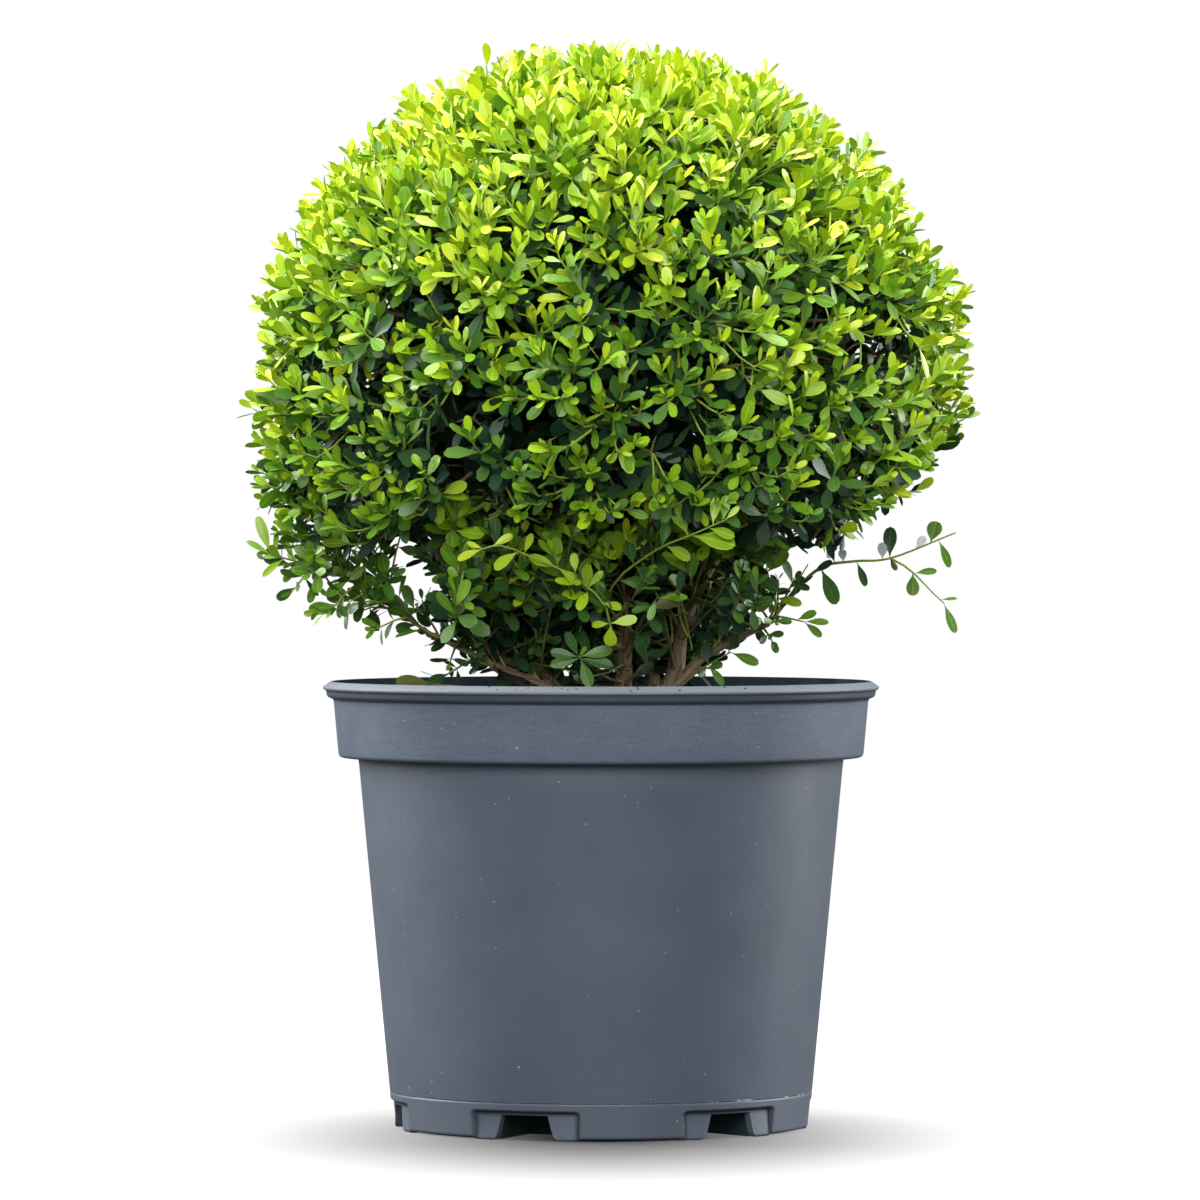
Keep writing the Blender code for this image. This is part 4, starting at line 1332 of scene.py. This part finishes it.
# Low growth: the dense dark leaves over the rim, on the stems under the crown

lowGrowth = {
    "shoots": 250,
    "length": (22, 80),
    "halfWidth": 68.0,  # of the dense middle at its foot
    "widening": 0.42,
    "lowest": 262.0,
    "tone": 9.3,
    "frontShoots": 120,
    "frontWidth": 92.0,
    "frontDepth": (-138, -62),
    "frontHeight": (322, 384),
    "frontTone": 6.0,
    "leafScale": (0.8, 1.15),
    "seed": 23,
}

# lowest leaves of the open growth on the low boughs, and of the dense middle
lowOutline = (
    (-215, 350), (-198, 333), (-160, 300), (-120, 266), (-84, 263), (77, 262), (100, 276), (137, 300),
    (167, 342), (209, 388))


def insideLow(point, _=0.0):
    if point.z < heightOn(lowOutline, point.x) or point.z > 385 or abs(point.y) > 140:
        return False
    return not hidesStem(point)


def growLowShoots():
    g = lowGrowth
    chance = random.Random(g["seed"])
    carriers = []
    for _, _, guides in mainStems():
        carriers += [point for point in smoothPath(guides, 20) if g["lowest"] < point.z < 350]
    for _ in range(g["shoots"]):
        start = chance.choice(carriers)
        turn = chance.uniform(0, math.tau)
        outward = Vector((math.cos(turn), math.sin(turn), chance.uniform(-0.2, 0.9))).normalized()
        end = start + outward * chance.uniform(*g["length"])
        end.z = max(end.z, g["lowest"] + 6)
        farthest = g["halfWidth"] + g["widening"] * (end.z - g["lowest"]) + 10 * noise.noise(end * 0.05)
        if not insideLow(end) or abs(end.x + 3) > farthest:
            continue
        arrive = outward + jitter(chance, 0.35)
        # darker towards the middle: old leaves, and painted shade under the crown
        outside = within((math.hypot(end.x * 0.7, end.y) - 25) / 65)
        tone = g["tone"] - 2.2 * outside + chance.gauss(0, 0.9) - chance.choice((0, 0, 0, 0, 3.2))
        pairs = max(3, int((end - start).length / 9))
        scale = chance.uniform(*g["leafScale"])
        growShoot(chance, "low", start, end, outward, arrive, pairs, tone, scale, keep=insideLow)

    # brighter ones rise to the front, under the skirt of the crown
    for _ in range(g["frontShoots"]):
        x = chance.uniform(-1, 1) * g["frontWidth"] + 3
        end = Vector((x, chance.uniform(*g["frontDepth"]), chance.uniform(*g["frontHeight"])))
        if not insideLow(end):
            continue
        inner = end + Vector((0, 34, -26))
        start = min(carriers, key=lambda point: (point - inner).length)
        leave = ((end - start).normalized() + up * 0.5).normalized()
        arrive = Vector((chance.gauss(0, 0.4), -0.5, 0.9))
        tone = g["frontTone"] - 0.058 * (end.z - g["frontHeight"][0]) + chance.gauss(0, 1.9)
        pairs = chance.choice((5, 6, 7))
        scale = chance.uniform(*g["leafScale"])
        growShoot(chance, "front", start, end, leave, arrive, pairs, tone, scale, keep=insideLow)


# Sprays: the path of the main twig, side twigs as (share of the path, end point), then leaves as
# (twig, share of it, move to the tip in x and z, tone, width where it isn't 1); twig 0 is the main one

sprays = {
    "spray_left": {
        "bough": "bough_low_left",
        "path": (
            (-105, -30, 299), (-121, -29, 311), (-138, -29, 323), (-158, -30, 334), (-178, -30, 339),
            (-197, -30, 344)),
        "sides": (
            (0.28, (-134, -38, 300)), (0.4, (-168, -40, 309)), (0.5, (-150, -12, 316)),
            (0.62, (-158, -50, 350)), (0.75, (-184, -46, 322)), (0.84, (-188, -14, 358)),
            (0.55, (-160, -46, 312)), (0.34, (-141, -10, 345)), (0.7, (-172, -56, 333))),
        "pairs": 12,  # on the main twig; the side twigs have their own
        "tone": 4.1,
        "shoots": 70,
        "leafyTo": 25,  # steps of the 30 along the main twig
        "shootTones": (7.4, 4.0),  # by the stems and out at the end
        "shootScale": (0.7, 1.0),
        "tipTone": 1,
        "leaves": (
            (0, 1.0, -8, 23, 3.4, 0.65), (0, 1.0, -14, 9, 3.8, 0.7), (0, 0.98, 1, 14, 3.2, 0.7),
            (0, 0.93, -14, -10, 3.0, 0.75), (0, 0.86, -9, -12, 4.2, 0.8), (0, 0.88, -6, 13, 4.6, 0.8)),
    },
    "spray_right": {
        "bough": "bough_low_right",
        "path": (
            (108, -25, 313), (119, -24, 326), (133, -22, 337), (152, -20, 340), (174, -19, 342),
            (212, -18, 357)),
        "sides": (
            (0.82, (205, -20, 315)), (0.06, (121, -30, 304)), (0.02, (108, -44, 318)),
            (0.1, (124, -8, 338))),
        "pairs": 0,
        "shoots": 26,
        "leafyTo": 7,
        "shootTones": (6.4, 4.6),
        "shootScale": (0.5, 0.78),
        "tipTone": 0,
        "leaves": (
            (0, 0.875, 4, 13, 4.6, 1.8), (0, 0.915, 8, -16, 5.0, 0.9), (0, 0.675, 0, 19, 7.0, 1.05),
            (0, 0.675, 4, -7, 7.0, 1.1), (0, 0.35, 10, -22, 6.2), (0, 0.52, 6, -15, 7.0, 0.9),
            (0, 0.64, 0, 10.5, paintedPaleLeaf, 1.6), (0, 0.8, 6, 8, paintedPaleLeaf, 1.5),
            (0, 0.46, -1, 8, paintedPaleLeaf, 1.6), (0, 0.42, -4, 12, 7.6), (0, 0.3, 12, 8, 7.0),
            (1, 0.4, 14, 2, 5.0, 0.9), (1, 0.38, 0, -14, 4.8, 1.4), (1, 0.93, 10, 1, 4.0, 0.6),
            (1, 1.0, 7, -18, 5.2, 0.7), (2, 0.75, 12, 5, 4.2), (2, 1.0, 15, 0, 4.2, 0.9),
            (2, 1.0, 11, -9, 5.0, 0.9)),
    },
}

# Single twigs that stand out: radius, wood tone and path, then leaves as
# (share of the path, move to the tip in x and z, tone, width where it isn't 1)

loneTwigs = {
    "green twig": (
        1.0, 0,
        ((12, -24, 296), (-2, -60, 306), (9, -100, 329), (23, -125, 341), (37, -150, 350), (52, -168, 356),
         (63, -178, 361), (72, -186, 365)),
        ((0.85, -9, 20, 4.0, 1.15), (0.86, 26, -5, 3.2), (0.74, 16, -7, 3.4, 1.1), (0.72, 4, 16, 5.6),
         (0.93, 16, -5, 3.2), (0.99, 2, 15, 3.8), (0.95, 2, 17, 3.4), (1.0, 8, 8, 2.4, 0.8),
         (0.55, 14, -9, 6.6, 1.2), (0.55, -3, 14, 6.8, 1.2), (0.44, 20, -2, 6.2, 1.1),
         (0.38, -9, -10, 5.2, 1.1))),
    "middle twig": (
        0.9, 1,
        ((14, -24, 286), (20, -60, 298), (27, -92, 311), (33, -112, 319)),
        ((1.0, 18, 0, 4.0, 0.85), (0.97, -4, -12, 5.0), (0.86, -11, -3, 5.8), (0.8, 21, 8, dryLeaf, 1.1),
         (0.7, 10, -10, 6.8, 1.2))),
    "bright twig": (
        0.9, 0,
        ((13, -25, 288), (8, -70, 292), (6, -104, 300), (1, -120, 317), (-18, -130, 333), (-40, -138, 343),
         (-58, -146, 350), (-69, -148, 348)),
        ((1.0, -15, -5, 1.0), (0.97, 12, 7, 1.3, 0.9), (1.0, -9, 4, 1.2, 0.8), (0.88, -15, -10, 1.8),
         (0.86, 5, 12, 2.4, 0.9), (0.74, -17, 7, 3.0), (0.74, 14, -9, 3.0), (0.62, 8, 10, 3.4, 0.9),
         (0.55, 12, -3, 2.2), (0.46, 16, 3, 1.8), (0.46, -11, -1, 2.0), (0.45, 0, -13, 2.0, 1.4))),
    "dark rosette": (
        0.9, 1,
        ((12, -24, 268), (2, -60, 272), (-13, -92, 284)),
        ((1.0, -17, 3, 6.8, 0.9), (0.97, -18, -4, 6.4, 0.9), (1.0, 20, 5, 6.4, 0.9),
         (0.97, 19, -4, 6.8, 0.9), (0.97, 6, -17, 6.2, 1.1), (1.0, -8, 15, 6.8, 0.9),
         (1.0, 4, 6, 5.4, 0.8))),
    "upright twig": (
        0.9, 1,
        ((-36, -12, 268), (-34, -60, 290), (-28, -95, 319), (-19, -118, 347), (-14, -140, 372)),
        ((1.0, -7, 20, 3.4, 0.9), (1.0, 6, 15, 3.8, 0.9), (0.86, -7, 9, 2.4), (0.86, 8, 11, 3.8),
         (0.72, 10, 5, 4.8), (0.72, -10, 7, 5.0), (0.55, -9, 9, 6.0), (0.55, 10, 6, 6.0))),
    "right shoot": (
        0.9, 0,
        ((99, -28, 303), (104, -44, 316), (98, -54, 334), (107, -64, 357)),
        ((0.35, 16, -3, 3.0), (0.35, -11, -8, 3.6), (0.6, 13, 14, 3.0, 1.1), (0.62, -11, 7, 3.4),
         (0.84, 15, 5, 2.8), (0.84, -15, 5, 3.0, 1.1), (1.0, 7, 13, 2.6), (1.0, -6, 13, 2.8))),
    "left shoot": (
        0.9, 0,
        ((-74, -40, 322), (-84, -90, 350), (-94, -138, 380)),
        ((1.0, 16, 6, 2.2), (0.97, 15, 1, 2.8), (1.0, -6, 10, 2.6, 0.9), (0.97, -2, -16, 3.0),
         (0.8, -12, 3, 4.0), (0.8, 12, -6, 4.4))),
    "left tall shoot": (
        0.8, 0,
        ((-140, -32, 320), (-141, -40, 342), (-140, -50, 362), (-143, -60, 378)),
        ((1.0, -5, 18, 3.2, 1.15), (1.0, 5, 9, 2.0, 0.9), (0.78, -19, 5, 3.6, 0.9),
         (0.72, 11, 14, 4.2, 0.9), (0.74, -9, 16, 3.6, 0.9), (0.5, 12, 8, 5.0), (0.5, -13, 5, 4.6),
         (0.3, 13, 2, 6.4, 1.1), (0.28, -11, -6, 5.0))),
    "left second shoot": (
        0.8, 0,
        ((-126, -30, 326), (-122, -42, 346), (-114, -54, 372)),
        ((1.0, 7, 14, 3.8, 0.9), (0.95, -7, 12, 4.6, 0.9), (0.75, 10, 8, 5.4), (0.7, -10, 7, 5.2),
         (0.5, 12, -3, 6.4, 1.2), (0.45, -10, 3, 6.2, 1.1))),
    "right foot shoot": (
        0.9, 1,
        ((47, -26, 265), (60, -36, 276), (77, -44, 286)),
        ((1.0, 17, -7, 4.6), (0.95, 6, 12, 7.6), (0.6, 10, -12, 6.0), (0.6, -2, 13, 7.8))),
    "dry twig": (
        0.7, 2,
        ((-34, -32, 262), (-66, -38, 264), (-100, -42, 267)),
        ((1.0, -22, 3, dryLeaf, 0.95),)),
}

spraySeed = 31
loneTwigSeed = 47


def placeLeaf(chance, mass, path, share, moveX, moveZ, tone, wide=1.0):
    root, _ = alongPath(path, (1 - share) * pathLength(path))
    toTip = Vector((moveX, chance.uniform(-4, 4), moveZ))
    facing = Vector((0, -1, 0.42)) + jitter(chance, 0.18)
    addLeaf(chance, mass, "large", root, toTip.normalized(), facing, toTip.length, tone, wide)


def leafBough(chance, name, spray, carrier):
    # short leafy shoots along the bough and the first part of the spray
    stemTone, endTone = spray["shootTones"]
    for _ in range(spray["shoots"]):
        start = chance.choice(carrier)
        outward = (jitter(chance, 1.0) + up * 0.7).normalized()
        end = start + outward * chance.uniform(14, 44)
        if not insideLow(end) or abs(end.x) < 50:
            continue
        arrive = outward + jitter(chance, 0.3)
        tone = stemTone + (endTone - stemTone) * within((abs(end.x) - 60) / 90) + chance.gauss(0, 0.8)
        pairs = max(2, round((end - start).length / 9))
        scale = chance.uniform(*spray["shootScale"])
        growShoot(
            chance, "bough", start, end, outward, arrive, pairs, tone, scale, mass=name, keep=insideLow)


def growSprays():
    chance = random.Random(spraySeed)
    for name, spray in sprays.items():
        _, tip, guides = stems[spray["bough"]]
        path = smoothPath([guides[-1], *spray["path"]], 30)
        half = len(path) // 2
        halfRadius = tip * 0.42 + 0.3
        addTwig(path[:half + 1], tip * 0.94, halfRadius, 1)
        addTwig(path[half:], halfRadius, 0.5, spray["tipTone"])
        if spray["pairs"]:
            dressShoot(chance, "spray", path, spray["pairs"], spray["tone"] - 1, 0.95, name)
        twigPaths = [path]
        for share, end in spray["sides"]:
            start = path[round(share * (len(path) - 1))]
            end = Vector(end)
            ahead = (end - start).normalized()
            leave = (ahead + (path[-1] - path[0]).normalized() * 0.4).normalized()
            pairs, tone = 0, 0
            if spray["pairs"]:
                pairs = max(2, round((end - start).length / 8))
                tone = spray["tone"] + chance.gauss(0, 0.8)
            twigPaths.append(growShoot(
                chance, "side twig", start, end, leave, ahead, pairs, tone, 0.9, mass=name))
        for twig, *placed in spray["leaves"]:
            placeLeaf(chance, name, twigPaths[twig], *placed)
        leafBough(chance, name, spray, smoothPath(guides, 30)[8:] + path[:spray["leafyTo"]])


def growLoneTwigs():
    chance = random.Random(loneTwigSeed)
    for radius, woodTone, guides, leavesOnIt in loneTwigs.values():
        path = smoothPath(guides, 16)
        addTwig(path, radius, 0.45, woodTone)
        for placed in leavesOnIt:
            placeLeaf(chance, "crown", path, *placed)


def bladeTemplate(kind):
    # a flat grid for one leaf: x along it, y across it, from -1 to 1; its margin and midrib are pale
    rows = leaf["rows"][kind]
    margin, rib = leaf["margin"], leaf["rib"]
    across = (-1, 0, 1) if kind == "plain" else (-1, -margin, -rib, rib, margin, 1)
    bm = bmesh.new()
    bmesh.ops.create_grid(bm, x_segments=len(rows) - 1, y_segments=len(across) - 1, size=0.5)
    for vert in bm.verts:
        row = round((vert.co.x + 0.5) * (len(rows) - 1))
        column = round((vert.co.y + 0.5) * (len(across) - 1))
        vert.co = (rows[row], across[column], 0)
    points, faces = meshArrays(meshOf(bm, "blade"))
    aside = np.abs(points[faces].mean(axis=1)[:, 1])
    pale = (aside > margin) | (aside < rib)
    return points, faces, pale & (kind != "plain")


def halfWidth(t):
    # of a leaf, at this share of its length; 1 where it is widest
    rise = np.clip((t - leaf["petiole"]) / (leaf["widest"] - leaf["petiole"]), 0, 1)
    fall = np.clip((t - leaf["widest"]) / (1 - leaf["widest"]), 0, 1)
    wide = np.sin(rise * math.pi / 2) ** 1.35 * (1 - fall ** 2.2) ** 0.5
    return np.maximum(wide, np.where(t > leaf["tipFrom"], leaf["tip"], leaf["petioleWidth"]))


def buildLeaves(name, chosen, kind, slotName, *nodes):
    points, faces, pale = bladeTemplate(kind)
    _, _, roots, ahead, face, *sizes = (np.array(column) for column in zip(*chosen))
    length, width, bend, fold, tone = (size[:, None] for size in sizes)
    t, c = points[:, 0], points[:, 1]
    x = (t - np.where(t > leaf["tipFrom"], leaf["notch"] * np.abs(c), 0)) * length
    y = halfWidth(t) * width * length / 2 * c
    z = fold * (np.abs(y) - np.abs(y) ** 2 / (length * 0.5)) - bend * length * t ** 2
    places = roots[:, None]
    for part, way in ((x, ahead), (y, np.cross(face, ahead)), (z, face)):
        places = places + part[..., None] * way[:, None]
    mesh = joinedMesh(name, [(place, faces) for place in places * mm])
    own = np.clip(np.round(tone), 0, len(tones) - 1).astype(int)
    paler = len(tones) + np.minimum(own // 2, len(paleTones) - 1)
    slots = np.where(pale & (own <= oldest), paler, own)
    mesh.polygons.foreach_set("material_index", slots.reshape(-1).astype(np.int32))
    newPiece(name, mesh, leafMaterials, slotName, *nodes)
    print(name, len(chosen), "leaves,", len(mesh.polygons) * 2, "triangles")


def ringTemplate(rings, sides):
    # a tube of rings one apart, from which each twig is bent
    bm = bmesh.new()
    edges = edgesOf(bmesh.ops.create_circle(bm, segments=sides, radius=1)["verts"])
    for _ in range(1, rings):
        verts, edges = extrudeEdges(bm, edges)
        bmesh.ops.translate(bm, verts=verts, vec=(0, 0, 1))
    return meshArrays(meshOf(bm, "ring"))


def bentTwig(template, path, startRadius, endRadius):
    points, faces = template
    centres = np.array(path)
    ahead = np.gradient(centres, axis=0)
    ahead /= np.linalg.norm(ahead, axis=1)[:, None]
    first = np.cross(ahead, np.array(Vector(ahead[0]).orthogonal().normalized()))
    first /= np.linalg.norm(first, axis=1)[:, None]
    second = np.cross(ahead, first)
    ring = np.round(points[:, 2]).astype(int)
    radius = startRadius + (endRadius - startRadius) * ring / (len(path) - 1)
    arms = points[:, :1] * first[ring] + points[:, 1:2] * second[ring]
    return (centres[ring] + radius[:, None] * arms) * mm, faces


def buildTwigs(name, slotName):
    templates = {count: ringTemplate(count, 5) for count in {len(path) for path, *_ in twigs}}
    parts, slots = [], []
    for path, startRadius, endRadius, tone in twigs:
        part = bentTwig(templates[len(path)], path, startRadius, endRadius)
        parts.append(part)
        slots += [tone] * len(part[1])
    mesh = joinedMesh(name, parts)
    mesh.polygons.foreach_set("material_index", slots)
    newPiece(name, mesh, twigMaterials, slotName)
    print(name, len(twigs), "twigs,", len(mesh.polygons) * 2, "triangles")


gloss = {
    "roughness": 0.37,
    "specular": (0.22, 0.24),  # of the oldest leaves, and how much more the youngest have
    "coat": (0.04, 0.08),
    "coatRoughness": 0.22,
    "deepInside": {"Roughness": 0.9, "Specular IOR Level": 0.1, "Coat Weight": 0.0},
    "veins": (420, 2),
    "twigRoughness": 0.6,
    "twigGrain": (700, 3),
}


def makeLeafMaterials():
    made = []
    for i, colour in enumerate(tones + paleTones):
        young = max(0, 1 - i / oldest)
        specular, coat = (least + more * young for least, more in (gloss["specular"], gloss["coat"]))
        material, shader, tree = newMaterial(f"leafTone{i + 1}", colour, gloss["roughness"])
        setInputs(tree, shader, {
            "Specular IOR Level": specular, "Coat Weight": coat, "Coat Roughness": gloss["coatRoughness"]})
        # the near-black painted-shade leaves are matte as well
        if i == deepest:
            setInputs(tree, shader, gloss["deepInside"])
        addBump(tree, shader, noiseOf(tree, objectPlace(tree), *gloss["veins"]), 0.25, 0.35)
        made.append(material)
    return made


def makeTwigMaterials():
    made = []
    for i, colour in enumerate(twigTones):
        material, shader, tree = newMaterial(f"twigTone{i + 1}", colour, gloss["twigRoughness"])
        addBump(tree, shader, noiseOf(tree, objectPlace(tree), *gloss["twigGrain"]), 0.3, 0.6)
        made.append(material)
    return made


def buildFoliage():
    # the crown's leaves in tiers, from the lowest up
    tiers = {
        "fine": [f"crown_leaves_{i}" for i in range(1, 5)],
        "plain": ["crown_leaves_inner_low", "crown_leaves_inner_high"],
    }
    for kind, names in tiers.items():
        chosen = sorted((one for one in leaves if one[:2] == ("crown", kind)), key=lambda one: one[2].z)
        ends = [len(chosen) * i // len(names) for i in range(len(names) + 1)]
        for name, low, high in zip(names, ends, ends[1:]):
            buildLeaves(name, chosen[low:high], kind, "foliage", "crown")
    lone = [one for one in leaves if one[:2] == ("crown", "large")]
    buildLeaves("lone_twig_leaves", lone, "large", "foliage", "crown")
    for name in sprays:
        own = [one for one in leaves if one[0] == name]
        buildLeaves(name + "_leaves", own, "large", "foliage_low", name)
    buildTwigs("twigs", "foliage")


addCamera()
addLamps()
setWorld()
addFloor()
potPlastic = makePotPlastic()
innerShadePlastic = makeInnerShadePlastic()
peat = makePeat()
barkMaterial = makeBark()
leafMaterials = makeLeafMaterials()
twigMaterials = makeTwigMaterials()
print("studio and finishes ready")
buildPotWall()
buildPotFoot()
buildPotUnderside()
print("pot built")
buildSoilTop()
buildCrumbs()
buildStraw()
print("soil built")
buildWood()
growCrown()
growLowShoots()
growSprays()
growLoneTwigs()
print("grown", len(leaves), "leaves and", len(twigs), "twigs")
buildFoliage()

scene.view_settings.view_transform = "Standard"
